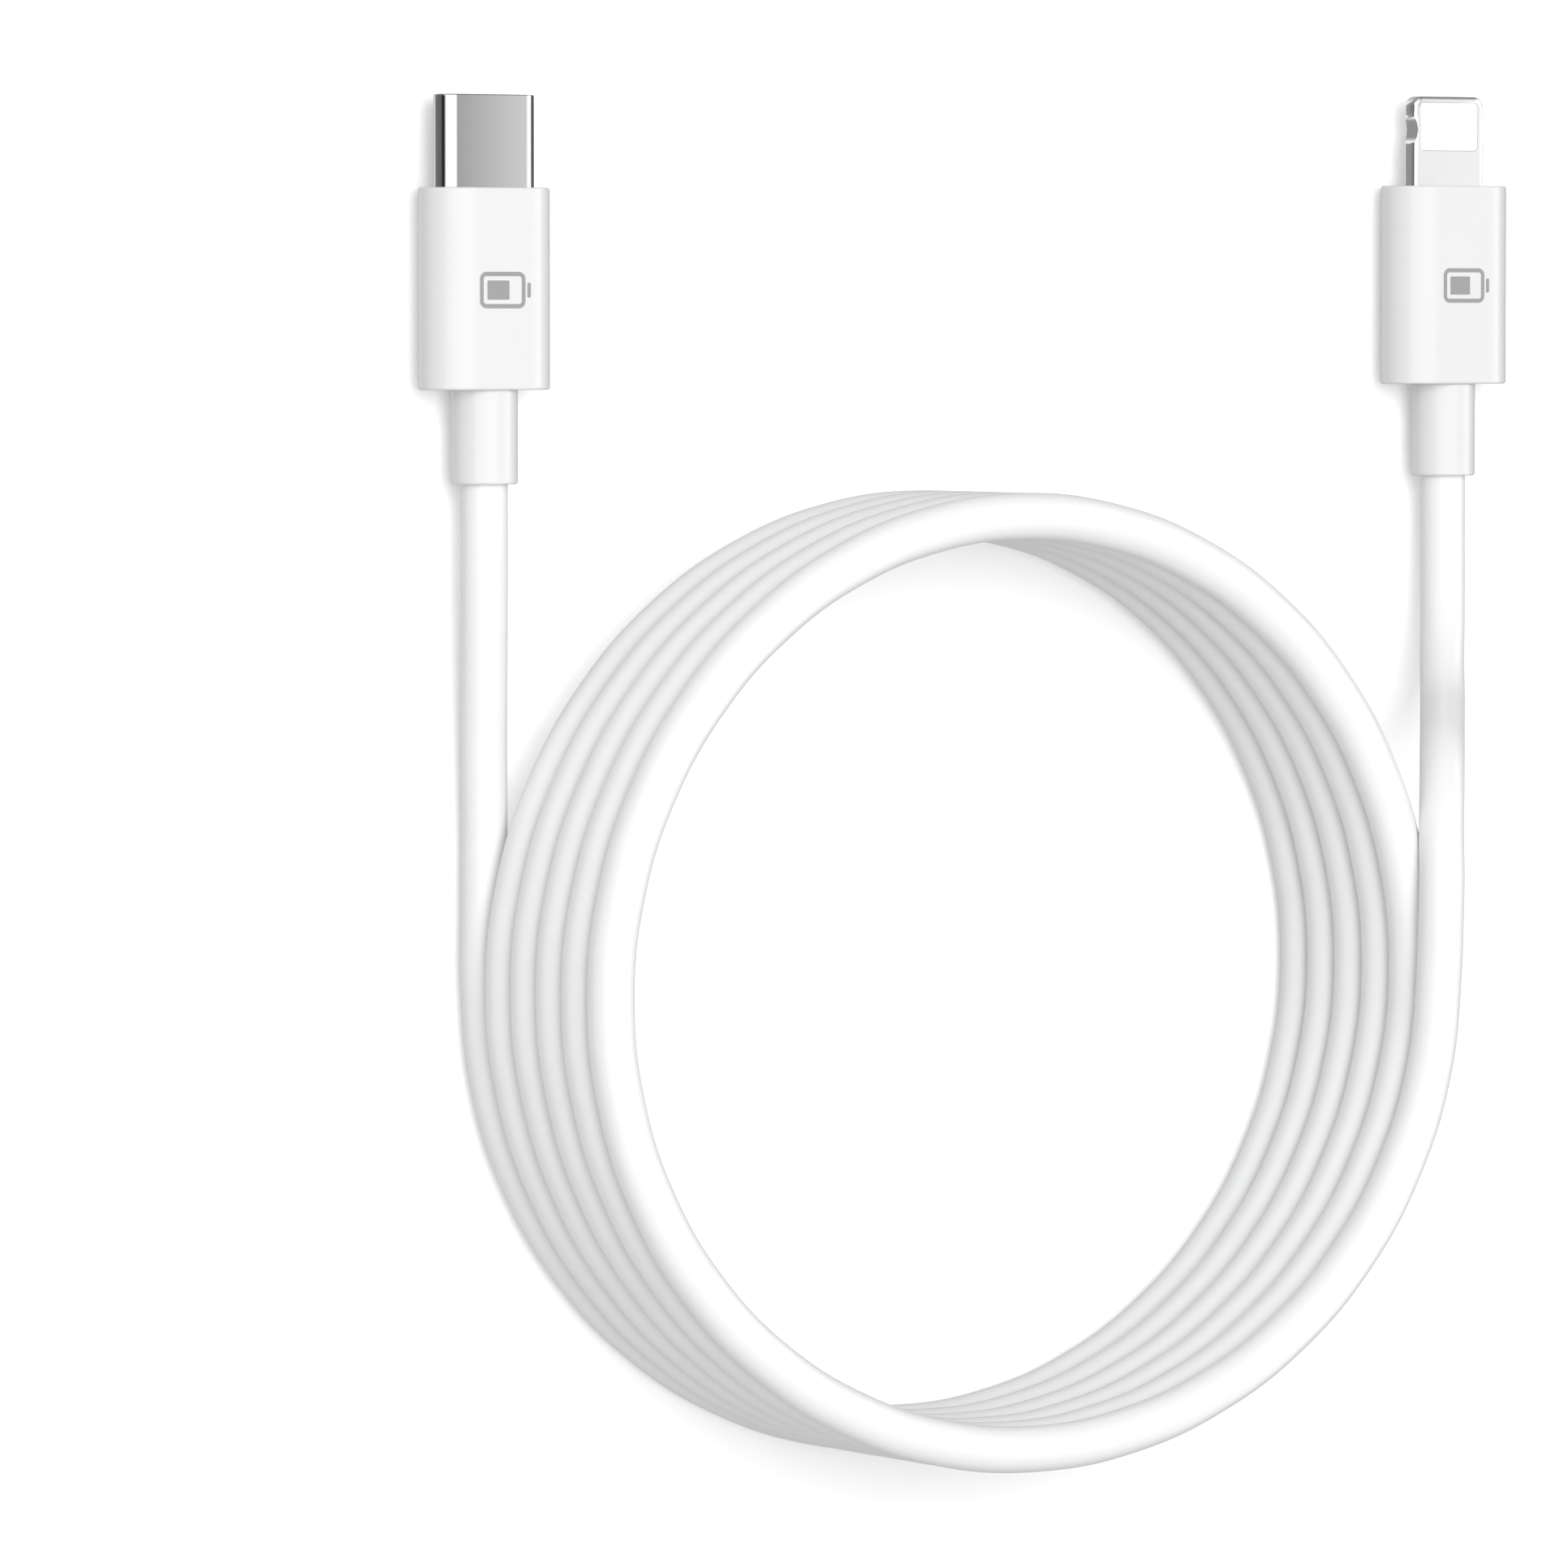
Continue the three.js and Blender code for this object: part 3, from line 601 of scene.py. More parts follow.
def rounded_end(size, y_face, radius, outwards, growth=-1):
    """Rings from a side wall round its edge to an end face. outwards is 1 for a front, -1 for a back."""
    rings = []
    for step in range(EDGE_STEPS + 1):
        angle = math.pi / 2 * step / EDGE_STEPS
        y = y_face - outwards * radius * (1 - math.sin(angle))
        rings.append((grown(size, growth * radius * (1 - math.cos(angle))), y))
    return rings


def rounded_rim(size, y_face, radius, outwards):
    """Rings from an end face round the rim of a hole and down into it: an end that opens out."""
    return rounded_end(size, y_face, radius, outwards, growth=1)[::-1]


# %% Skin the rings into a closed wall
def to_object(bm, name, material, unit=1.0):
    """Finish a bmesh: doubles merged, faces outwards, smooth but for its sharp edges.

    unit is the length of a metre in the mesh, which is 1000 while it is drawn in millimetres.
    """
    bmesh.ops.remove_doubles(bm, verts=bm.verts, dist=SAME_POINT * unit)
    bmesh.ops.recalc_face_normals(bm, faces=bm.faces)
    mesh = bpy.data.meshes.new(name)
    bm.to_mesh(mesh)
    bm.free()
    mesh.materials.append(material)
    mesh.shade_smooth()
    mesh.set_sharp_from_angle(angle=SHARP_ANGLE)
    return add_object(name, mesh)


def flats_kept_flat(made):
    """Let the large faces set the normals at their edges, so that a flat face looks flat."""
    weighted = made.modifiers.new("weighted_normals", "WEIGHTED_NORMAL")
    weighted.keep_sharp = True
    return baked(made, made.name)


def skin(bm, loops):
    """Faces between each loop of corners and the next one."""
    for here, after in zip(loops, loops[1:]):
        for i, corner in enumerate(here):
            following = (i + 1) % len(here)
            bm.faces.new((corner, here[following], after[following], after[i]))


def wall(name, origin, rings, material, crown=0.0):
    """One closed wall through the rings, the last ring joined to the first."""
    bm = bmesh.new()
    loops = [
        [bm.verts.new(origin + Vector((x, y, z))) for x, z in ring_points(*size, crown)]
        for size, y in rings
    ]
    skin(bm, loops + loops[:1])
    made = flats_kept_flat(to_object(bm, name, material))
    print(name, "is", in_mm(made.dimensions), "mm, with", len(made.data.polygons), "faces")
    return made


def attach(made, slot, *nodes):
    """Hand a finished piece to the frame: the CAD nodes it stands for are hidden, and it rides on the
    root body. slot is not used.
    """
    if nodes:
        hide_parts(*nodes)
    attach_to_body(made, "root")
    return made

# %% [markdown]
# ## The housings
#
# Each housing is one moulding: a stadium outside, with a nose opening at the front for the metal,
# a chamber for the shield can and a bore for the crimped cord. Every edge of a real moulding is
# rounded, and the light that catches those edges is most of what makes it look real, so the front
# and back edges have their own radii. The chamber and the bore keep the CAD's clearances.

# %% Make both housings
FIT_GAP = 0.1 * MM
HOUSING_FRONT_EDGE = 0.2 * MM
HOUSING_BACK_EDGE = 0.22 * MM
NOSE_RIM = 0.12 * MM
CAN_CORNER = 1.3 * MM
TAB_WIDTH, TAB_THICKNESS, TAB_EDGE = 6.7 * MM, 1.5 * MM, 0.35 * MM


def plug_origin(plug):
    """The middle line of a plug at the front face of its housing. Its pieces are built from there."""
    box = box_of(plug + "_housing")
    return Vector((box.middle.x, box.high.y, box.middle.z))


def round_section(diameter):
    """A ring's section for a circle."""
    return diameter, diameter, diameter / 2


def make_housing(plug, nose):
    """The moulded housing, whose nose opening has the given section."""
    origin = plug_origin(plug)
    size = box_of(plug + "_housing").size
    outer = (size.x, size.z, size.z / 2)
    can_low, can_high = box_of(plug + "_shield_lower").low, box_of(plug + "_shield_upper").high
    can = (can_high.x - can_low.x, can_high.z - can_low.z, CAN_CORNER)
    can_front, can_back = can_high.y - origin.y + FIT_GAP, can_low.y - origin.y - FIT_GAP
    bore = round_section(box_of(plug + "_crimp_sleeve").size.x + 2 * FIT_GAP)
    chamber = grown(can, FIT_GAP)
    rings = rounded_end(outer, -size.y, HOUSING_BACK_EDGE, -1)[::-1]
    rings += rounded_end(outer, 0, HOUSING_FRONT_EDGE, 1)
    rings += rounded_rim(nose, 0, NOSE_RIM, 1)
    rings += [(nose, can_front), (chamber, can_front), (chamber, can_back), (bore, can_back)]
    rings += rounded_rim(bore, -size.y, NOSE_RIM, -1)[::-1]
    made = wall(plug + "_housing_body", origin, rings, FINISHES["housing"])
    return attach(made, "housing", plug + "_housing")


shell_box = box_of("usb_c_shell")
shell_section = (shell_box.size.x, shell_box.size.z, shell_box.size.z / 2)
tab_section = (TAB_WIDTH, TAB_THICKNESS, TAB_EDGE)
make_housing("usb_c", grown(shell_section, FIT_GAP / 2))
make_housing("tab", grown(tab_section, FIT_GAP / 2))

# %% [markdown]
# ## The strain reliefs
#
# Behind each housing a stiff sleeve keeps the cord from bending sharply where it leaves the plug.
# It is a plain round sleeve with a rolled back edge, moulded in the same gloss white, and it
# starts flush against the housing.

# %% Make both strain reliefs
RELIEF_EDGE = 0.2 * MM
RELIEF_FRONT_EDGE = 0.06 * MM


def make_relief(plug):
    """The sleeve, from the housing's back face to its own rolled edge."""
    origin = plug_origin(plug)
    box = box_of(plug + "_strain_relief")
    front = box_of(plug + "_housing").low.y - origin.y
    back = box.low.y - origin.y
    outer, bore = round_section(box.size.x), round_section(CORD_DIAMETER + FIT_GAP)
    rings = rounded_end(outer, back, RELIEF_EDGE, -1)[::-1]
    rings += rounded_end(outer, front, RELIEF_FRONT_EDGE, 1)
    rings += [(bore, front)]
    rings += rounded_rim(bore, back, RELIEF_FRONT_EDGE, -1)[::-1]
    made = wall(plug + "_strain_relief_sleeve", origin, rings, FINISHES["housing"])
    return attach(made, "housing", plug + "_strain_relief")


make_relief("usb_c")
make_relief("tab")

# %% [markdown]
# ## The steel shell and the contact carrier
#
# The USB-C shell is drawn from one piece of steel, so it has no seam, and its front lip is
# slightly rolled so that it finds the socket. Inside it a black moulding carries the contacts and
# leaves a slot for the socket's tongue.

# %% Make the shell and the carrier
SHELL_WALL = 0.25 * MM
SHELL_LIP = 0.11 * MM
SHELL_CROWN = 0.045 * MM
SLOT_HEIGHT, SLOT_CORNER = 1.2 * MM, 0.5 * MM
SLOT_RIM = 0.15 * MM
CARRIER_SIDE, CARRIER_EDGE = 0.375 * MM, 0.1 * MM

usb_c_origin = plug_origin("usb_c")
shell_back = shell_box.low.y - usb_c_origin.y


def make_sleeve(name, slot, node, outer, inner, edge, rim, crown=0.0):
    """A sleeve round the plug's middle line, rounded at its front and cut straight at its back."""
    front = box_of(node).high.y - usb_c_origin.y
    rings = [(outer, shell_back), *rounded_end(outer, front, edge, 1)]
    rings += [*rounded_rim(inner, front, rim, 1), (inner, shell_back)]
    attach(wall(name, usb_c_origin, rings, FINISHES[slot], crown), slot, node)


shell_inside = grown(shell_section, -SHELL_WALL)
carrier_outside = grown(shell_inside, -FIT_GAP)
tongue_slot = (carrier_outside[0] - 2 * CARRIER_SIDE, SLOT_HEIGHT, SLOT_CORNER)
make_sleeve(
    "usb_c_drawn_shell", "steel", "usb_c_shell",
    shell_section, shell_inside, SHELL_LIP, SHELL_LIP, SHELL_CROWN,
)
make_sleeve(
    "usb_c_moulded_carrier", "carrier", "usb_c_contact_carrier",
    carrier_outside, tongue_slot, CARRIER_EDGE, SLOT_RIM,
)

# %% [markdown]
# ## Rows of contacts
#
# Contacts repeat at an exact spacing, which is what instancing is for: one contact is drawn, and a
# node tree sets copies of it on evenly spaced points. An Array modifier would do as well, but a
# tree can centre the row by itself and takes the count and the spacing as named inputs. The
# copies are made real at the end, because an exported model holds no instances.
#
# A USB-C contact is a thin sprung finger that bows towards the slot's middle near its front. A
# contact of the tab plug is a flat pad with soft edges and round corners.

# %% The tree that makes a row
def row_tree():
    """Copies of the modifier's own mesh along X, centred, Count of them, Pitch apart."""
    tree, group_in, group_out = node_tree_group(
        "contact_row", "GeometryNodeTree",
        [("Contact", "NodeSocketGeometry"), ("Count", "NodeSocketInt", 8),
         ("Pitch", "NodeSocketFloat", 0.6 * MM), ("Finish", "NodeSocketMaterial")],
        [("Row", "NodeSocketGeometry")],
    )
    nodes = tree.nodes
    line = nodes.new("GeometryNodeMeshLine")
    steps = math_node(tree, "SUBTRACT", "steps in the row", None, 1)
    half = math_node(tree, "MULTIPLY", "half of them, backwards", None, -0.5)
    start = math_node(tree, "MULTIPLY", "where the row starts")
    start_place = nodes.new("ShaderNodeCombineXYZ")
    step_place = nodes.new("ShaderNodeCombineXYZ")
    copies = nodes.new("GeometryNodeInstanceOnPoints")
    real = nodes.new("GeometryNodeRealizeInstances")
    finish_node = nodes.new("GeometryNodeSetMaterial")
    chain(
        tree,
        (group_in, "Count", line, "Count"),
        (group_in, "Count", steps, 0),
        (steps, 0, half, 0),
        (half, 0, start, 0),
        (group_in, "Pitch", start, 1),
        (start, 0, start_place, "X"),
        (group_in, "Pitch", step_place, "X"),
        (start_place, "Vector", line, "Start Location"),
        (step_place, "Vector", line, "Offset"),
        (line, "Mesh", copies, "Points"),
        (group_in, "Contact", copies, "Instance"),
        (copies, "Instances", real, "Geometry"),
        (real, "Geometry", finish_node, "Geometry"),
        (group_in, "Finish", finish_node, "Material"),
        (finish_node, "Geometry", group_out, "Row"),
    )
    return tree


contact_row = row_tree()

# %% One sprung finger, and the way to make a row
STRIP_CHAMFER = 0.2


def strip(name, line, width, thickness, material):
    """A flat strip along a line of (y, z) points, with its long edges chamfered."""
    cut = STRIP_CHAMFER * thickness
    x, z = width / 2, thickness / 2
    section = [
        (-x, cut - z), (cut - x, -z), (x - cut, -z), (x, cut - z),
        (x, z - cut), (x - cut, z), (cut - x, z), (-x, z - cut),
    ]
    bm = bmesh.new()
    loops = [[bm.verts.new((x, y, z + rise)) for x, rise in section] for y, z in line]
    skin(bm, loops)
    bm.faces.new(loops[0])
    bm.faces.new(loops[-1][::-1])
    return to_object(bm, name, material)


def make_row(name, plug, side, one, count, pitch, slot):
    """A row of copies of one contact, as a plain mesh on the upper or the lower side of a plug.

    The contact is drawn for the upper side. A lower row is turned over about the plug's middle line.
    """
    run_tree(one, contact_row, Count=count, Pitch=pitch, Finish=FINISHES[slot])
    row = baked(one, name + "_" + side)
    over = Matrix.Rotation(math.pi if side == "lower" else 0, 4, "Y")
    row.data.transform(Matrix.Translation(plug_origin(plug)) @ over)
    print(row.name, "has", count, "contacts,", round(pitch / MM, 3), "mm apart")
    return attach(row, slot, plug + "_contacts_" + side)


# %% Make the two rows of the USB-C plug
USBC_CONTACTS, USBC_PITCH = 12, 0.5 * MM
FINGER_WIDTH, FINGER_THICKNESS = 0.25 * MM, 0.11 * MM
FINGER_STEPS = 28
BOW_DEPTH = 0.16 * MM
BOW_MIDDLE, BOW_REACH = 0.86, 0.07

row_box = box_of("usb_c_contacts_upper")
row_back = row_box.low.y - usb_c_origin.y
row_rest = row_box.high.z - usb_c_origin.z - FINGER_THICKNESS / 2
finger_line = []
for step in range(FINGER_STEPS + 1):
    part = step / FINGER_STEPS
    bow = math.exp(-((part - BOW_MIDDLE) / BOW_REACH) ** 2) * BOW_DEPTH
    finger_line.append((row_back + part * row_box.size.y, row_rest - bow))
for side in ("upper", "lower"):
    finger = strip("finger", finger_line, FINGER_WIDTH, FINGER_THICKNESS, FINISHES["gold"])
    make_row("usb_c_fingers", "usb_c", side, finger, USBC_CONTACTS, USBC_PITCH, "gold")

# %% [markdown]
# ## The tab
#
# The tab is one plated piece: a flat tongue with round edges and corners, a small notch in each
# side that a spring in the socket clicks into, and a window through it for the contacts. A filled
# 2D curve draws the tongue, because the curve's own bevel rounds its edges evenly. The notches and
# the window have crisp edges, so booleans cut them afterwards. A wider flange behind the housing's
# front wall holds the tab in, and a slot lets the board through.
#
# A filled curve takes points that are less than about a third of a thousandth apart for one
# point, which in metres is a third of a millimetre. So the tab is drawn in millimetres, and made
# small when it is done.

# %% Draw the tab's outlines
TAB_TIP_RADIUS = 0.8 * MM
NOTCH_RADIUS, NOTCH_DEPTH, NOTCH_FROM_TIP = 2.0 * MM, 0.35 * MM, 2.6 * MM
WINDOW_CORNER = 0.4 * MM
OUTLINE_STEPS = 14

tab_origin = plug_origin("tab")
tab_box = box_of("tab_frame")
tab_tip, tab_back = tab_box.high.y - tab_origin.y, tab_box.low.y - tab_origin.y
insert_box = box_of("tab_contact_insert")
window_middle = (0, insert_box.middle.y - tab_origin.y)


def arc(middle, radius, start, end):
    """Points of an arc, from one angle to another, in degrees."""
    points = []
    for step in range(OUTLINE_STEPS + 1):
        angle = math.radians(start + (end - start) * step / OUTLINE_STEPS)
        points.append((middle[0] + radius * math.cos(angle), middle[1] + radius * math.sin(angle)))
    return points


def tongue_outline():
    """The tongue, anticlockwise, its tip's corners round."""
    half = TAB_WIDTH / 2
    corner_x, corner_y = half - TAB_TIP_RADIUS, tab_tip - TAB_TIP_RADIUS
    points = [(half, tab_back)]
    points += arc((corner_x, corner_y), TAB_TIP_RADIUS, 0, 90)
    points += arc((-corner_x, corner_y), TAB_TIP_RADIUS, 90, 180)
    points += [(-half, tab_back)]
    return points


def notch_outline(side):
    """A circle that cuts the notch in one side of the tongue."""
    middle = (side * (TAB_WIDTH / 2 + NOTCH_RADIUS - NOTCH_DEPTH), tab_tip - NOTCH_FROM_TIP)
    return arc(middle, NOTCH_RADIUS, 0, 180) + arc(middle, NOTCH_RADIUS, 180, 360)


def rectangle(width, length, radius, middle=(0, 0)):
    """A rectangle with round corners, anticlockwise, round a middle."""
    points = []
    for quarter, (side_x, side_y) in enumerate(((1, 1), (-1, 1), (-1, -1), (1, -1))):
        corner_x = middle[0] + side_x * (width / 2 - radius)
        corner_y = middle[1] + side_y * (length / 2 - radius)
        points += arc((corner_x, corner_y), radius, 90 * quarter, 90 * quarter + 90)
    return points


# %% Thicken outlines into plates, in millimetres
PLATE_EDGE_STEPS = 3
CLOSEST_KNOTS = 1e-3


def plate(name, outlines, thickness, edge, material, holes=()):
    """A plate in millimetres, from outlines in metres, with round edges and holes through it."""
    curve = bpy.data.curves.new(name, "CURVE")
    curve.dimensions = "2D"
    curve.fill_mode = "BOTH"
    curve.extrude = (thickness / 2 - edge) / MM
    curve.bevel_depth = edge / MM
    curve.offset = -edge / MM
    curve.bevel_resolution = PLATE_EDGE_STEPS
    for outline in [*outlines, *(hole[::-1] for hole in holes)]:
        points = [Vector(point) / MM for point in outline]
        kept = [p for i, p in enumerate(points) if (p - points[i - 1]).length > CLOSEST_KNOTS]
        line = curve.splines.new("POLY")
        line.use_cyclic_u = True
        line.points.add(len(kept) - 1)
        for knot, point in zip(line.points, kept):
            knot.co = (point.x, point.y, 0, 1)
    made = baked(add_object(name, curve), name)
    return cleaned(made, Matrix.Identity(4), material, 1 / MM)


def cleaned(made, matrix, material, unit=1.0):
    """A mesh object rebuilt with its doubles merged, its normals outwards, and moved by a matrix."""
    name = made.name
    bm = bmesh.new()
    bm.from_mesh(made.data)
    bm.transform(matrix)
    old = made.data
    bpy.data.objects.remove(made)
    bpy.data.meshes.remove(old)
    return to_object(bm, name, material, unit)


def combine(made, other, operation):
    """Join another closed mesh to this one, or cut it away, and drop the other."""
    boolean = made.modifiers.new(operation.lower(), "BOOLEAN")
    boolean.operation = operation
    boolean.object = other
    boolean.solver = "EXACT"
    result = baked(made, made.name)
    bpy.data.objects.remove(other)
    return result


def block(low, high, material):
    """A plain box between two corners in metres, made in millimetres for a boolean."""
    bm = bmesh.new()
    bmesh.ops.create_cube(bm, size=1)
    for vertex in bm.verts:
        vertex.co = [(a + b) / 2 / MM + share * (b - a) / MM for share, a, b in zip(vertex.co, low, high)]
    return to_object(bm, "cutter", material, 1 / MM)


def set_down(made, origin, material):
    """Make a plate small, and move it to its plug."""
    return flats_kept_flat(cleaned(made, Matrix.Translation(origin) @ Matrix.Scale(MM, 4), material))


# %% Make the tab
FLANGE_LENGTH = 1.7 * MM
CUT_THROUGH = 4 * MM
CUT_PAST_BACK = 1 * MM

plated = FINISHES["plated"]
tab = plate("tab_plated_frame", [tongue_outline()], TAB_THICKNESS, TAB_EDGE, plated)
half = tab_box.size / 2
flange = block((-half.x, tab_back - FIT_GAP, -half.z), (half.x, tab_back + FLANGE_LENGTH, half.z), plated)
tab = combine(tab, flange, "UNION")
window_width, window_length = insert_box.size.x + 2 * FIT_GAP, insert_box.size.y + 2 * FIT_GAP
window = rectangle(window_width, window_length, WINDOW_CORNER, window_middle)
for outline in (notch_outline(-1), notch_outline(1), window):
    tab = combine(tab, plate("cutter", [outline], CUT_THROUGH, 0, plated), "DIFFERENCE")
half = box_of("tab_board").size / 2 + Vector((FIT_GAP, 0, FIT_GAP))
slot_back = tab_back - CUT_PAST_BACK
board_slot = block((-half.x, slot_back, -half.z), (half.x, window_middle[1], half.z), plated)
tab = combine(tab, board_slot, "DIFFERENCE")
tab = attach(set_down(tab, tab_origin, plated), "steel", "tab_frame")
print("tab:", len(tab.data.polygons), "faces,", in_mm(tab.dimensions), "mm")

# %% [markdown]
# ## The insert and its pads
#
# A white moulded insert fills the window snugly, flush with both faces. Each face has a shallow
# tray for eight pads. It is a plate too, and a boolean cuts each tray.

# %% Make the insert
TRAY_DEPTH = 0.1 * MM
SNUG = 0.02 * MM
INSERT_EDGE = 0.02 * MM
PAD_EDGE, PAD_CORNER = 0.04 * MM, 0.12 * MM
TAB_CONTACTS = 8
PAD_GAP = 0.22 * MM

white, pale = FINISHES["insert"], FINISHES["palladium"]
outline = rectangle(
    window_width - 2 * SNUG, window_length - 2 * SNUG, WINDOW_CORNER - SNUG, window_middle
)
insert = plate("tab_window_insert", [outline], TAB_THICKNESS, INSERT_EDGE, white)
pads_box = box_of("tab_contacts_upper")
tray_floor = TAB_THICKNESS / 2 - TRAY_DEPTH
tray_x, tray_y = pads_box.size.x / 2 + FIT_GAP, pads_box.size.y / 2 + FIT_GAP
front, back = window_middle[1] + tray_y, window_middle[1] - tray_y
for floor, top in ((-TAB_THICKNESS, -tray_floor), (tray_floor, TAB_THICKNESS)):
    tray = block((-tray_x, back, floor), (tray_x, front, top), white)
    insert = combine(insert, tray, "DIFFERENCE")
insert = attach(set_down(insert, tab_origin, white), "insert", "tab_contact_insert")
print("insert:", len(insert.data.polygons), "faces,", in_mm(insert.dimensions), "mm")

# %% Make the two rows of pads
pad_pitch = (pads_box.size.x - 2 * FIT_GAP + PAD_GAP) / TAB_CONTACTS
pad_top = pads_box.high.z - tab_origin.z
pad_middle = Vector((0, 0, (pad_top + tray_floor) / 2))
outline = rectangle(pad_pitch - PAD_GAP, pads_box.size.y - 2 * FIT_GAP, PAD_CORNER, window_middle)
for side in ("upper", "lower"):
    pad = set_down(plate("pad", [outline], pad_top - tray_floor, PAD_EDGE, pale), pad_middle, pale)
    make_row("tab_pads", "tab", side, pad, TAB_CONTACTS, pad_pitch, "palladium")

# %% [markdown]
# ## The printed sign
#
# Each housing has a small sign pad-printed on its wide face. A print is a film of ink a few
# micrometres thick, so a very thin plate stands for it, sunk a quarter of the way in so that it
# holds on to the plastic. This one is a plain battery, which says what the cable is for without
# any words: a rounded case, its terminal, and the level inside.

# %% Print the battery sign
SIGN_CASE = (3.9 * MM, 2.7 * MM)
SIGN_LINE = 0.32 * MM
SIGN_CORNER, LEVEL_CORNER, NUB_CORNER = 0.55 * MM, 0.1 * MM, 0.12 * MM
SIGN_NUB = (0.3 * MM, 1.1 * MM)
SIGN_LEVEL = 0.72
SIGN_INK, INK_ABOVE = 0.016 * MM, 0.75
SIGN_FROM_FRONT = {"usb_c": 7.6 * MM, "tab": 7.8 * MM}


def print_sign(plug):
    """A battery on the upper face of one housing, its long side across the plug."""
    width, height = SIGN_CASE
    case_x = -SIGN_NUB[0] / 2
    room_width, room_height = width - 4 * SIGN_LINE, height - 4 * SIGN_LINE
    level_width = room_width * SIGN_LEVEL
    level_x = case_x - (room_width - level_width) / 2
    outlines = [
        rectangle(width, height, SIGN_CORNER, (case_x, 0)),
        rectangle(level_width, room_height, LEVEL_CORNER, (level_x, 0)),
        rectangle(*SIGN_NUB, NUB_CORNER, ((width + SIGN_LINE) / 2, 0)),
    ]
    inside_size = (width - 2 * SIGN_LINE, height - 2 * SIGN_LINE)
    inside = rectangle(*inside_size, SIGN_CORNER - SIGN_LINE, (case_x, 0))
    sign = plate(plug + "_printed_sign", outlines, SIGN_INK, 0, FINISHES["ink"], [inside])
    origin = plug_origin(plug)
    top = box_of(plug + "_housing").high.z
    rise = SIGN_INK * (INK_ABOVE - 0.5)
    place = Vector((origin.x, origin.y - SIGN_FROM_FRONT[plug], top + rise))
    return attach(set_down(sign, place, FINISHES["ink"]), "carrier")


for plug in ("usb_c", "tab"):
    sign = print_sign(plug)
    print(sign.name, in_mm(sign.dimensions), "mm")

# %% [markdown]
# ## The parts inside the plugs
#
# The boards, chips, wires, shield cans and crimps keep their CAD shapes, which are right as they
# are. Each takes the finish that the record's slot names.

# %% Finish the CAD pieces that stay
staying = 0
for subpart in frame["record"]["subparts"]:
    node = frame["nodes"][subpart["node"]]
    for material_slot in node.material_slots:
        material_slot.material = FINISHES[subpart["material_slot"]]
    staying += not node.hide_render
print("CAD pieces that stay:", staying)

# %% [markdown]
# ## The table
#
# White on white only reads through its shading, so the light matters more here than any material.
# A product table is lit until the camera sees it pure white, with a trace of shadow left under the
# object. Done plainly, so bright a table would fill in all the shading under the cord. So the
# table's material asks the Light Path node what kind of ray has arrived: the camera sees white
# paper with a little glow, and the object gets the bounce of a greyer one. Studios do the same
# with black card hidden just outside the picture.

# %% Lay the table
TABLE_HALF = 3.0
TABLE_TO_CAMERA, TABLE_GLOW = 0.9, 0.26
TABLE_TO_OBJECT = 0.58


def table_finish():
    """White to the camera, and greyer as a source of bounced light."""
    material = bpy.data.materials.new("white_table")
    material.use_nodes = True
    tree = material.node_tree
    tree.nodes.remove(tree.nodes["Principled BSDF"])
    bounce = tree.nodes.new("ShaderNodeBsdfDiffuse")
    bounce.inputs["Color"].default_value = grey(TABLE_TO_OBJECT)
    paper = tree.nodes.new("ShaderNodeBsdfDiffuse")
    paper.inputs["Color"].default_value = grey(TABLE_TO_CAMERA)
    glow = tree.nodes.new("ShaderNodeEmission")
    glow.inputs["Strength"].default_value = TABLE_GLOW
    seen = tree.nodes.new("ShaderNodeAddShader")
    ray = tree.nodes.new("ShaderNodeLightPath")
    mix = tree.nodes.new("ShaderNodeMixShader")
    chain(
        tree,
        (paper, "BSDF", seen, 0),
        (glow, "Emission", seen, 1),
        (ray, "Is Camera Ray", mix, "Fac"),
        (bounce, "BSDF", mix, 1),
        (seen, "Shader", mix, 2),
        (mix, "Shader", tree.nodes["Material Output"], "Surface"),
    )
    return material


table_mesh = bpy.data.meshes.new("table_top")
table_corners = [(x * TABLE_HALF, y * TABLE_HALF, 0) for x, y in ((-1, -1), (1, -1), (1, 1), (-1, 1))]
table_mesh.from_pydata(table_corners, [], [(0, 1, 2, 3)])
table_mesh.materials.append(table_finish())
table = add_object("table_top", table_mesh)
table.visible_glossy = False
print("table:", 2 * TABLE_HALF, "m across")

# %% [markdown]
# ## The room around it
#
# Polished metal has no look of its own: it shows the room. A studio builds that room from
# white sheets and black strips, so that a shiny part gets bright bands with dark lines between
# them, and a soft gradient on its flat face. Here the world does it. Rays that come from a gloss
# see a room whose brightness changes across the plugs, given as (place across, brightness) pairs,
# where -1 and 1 are the horizon on either side. One list is for above the horizon, one for below,
# and both fade towards the ends of the plugs, which draws a darker line round a polished tip. All
# other rays see an even, dim sky, so the bands don't tint the plastic.

# %% Build the room
ROOM_BRIGHTEST = 3.6
ROOM_ABOVE = [
    (-1.0, 0.03), (-0.9, 0.03), (-0.86, 1.8), (-0.3, 1.8), (0.3, 1.8), (0.42, 0.38), (0.53, 1.02),
    (0.62, 1.14), (0.7, 1.9), (0.85, 3.6), (0.93, 3.6), (0.97, 0.4), (1.0, 0.25),
]
ROOM_BELOW = [
    (-1.0, 0.22), (-0.66, 0.25), (-0.6, 0.34), (-0.45, 0.34), (-0.34, 1.2), (0.3, 0.6), (1.0, 0.12),
]
ENDS_START, ENDS_STOP, ENDS_LEFT = 0.4, 0.85, 0.35
HORIZON_BLUR = 0.02
SKY = 0.61


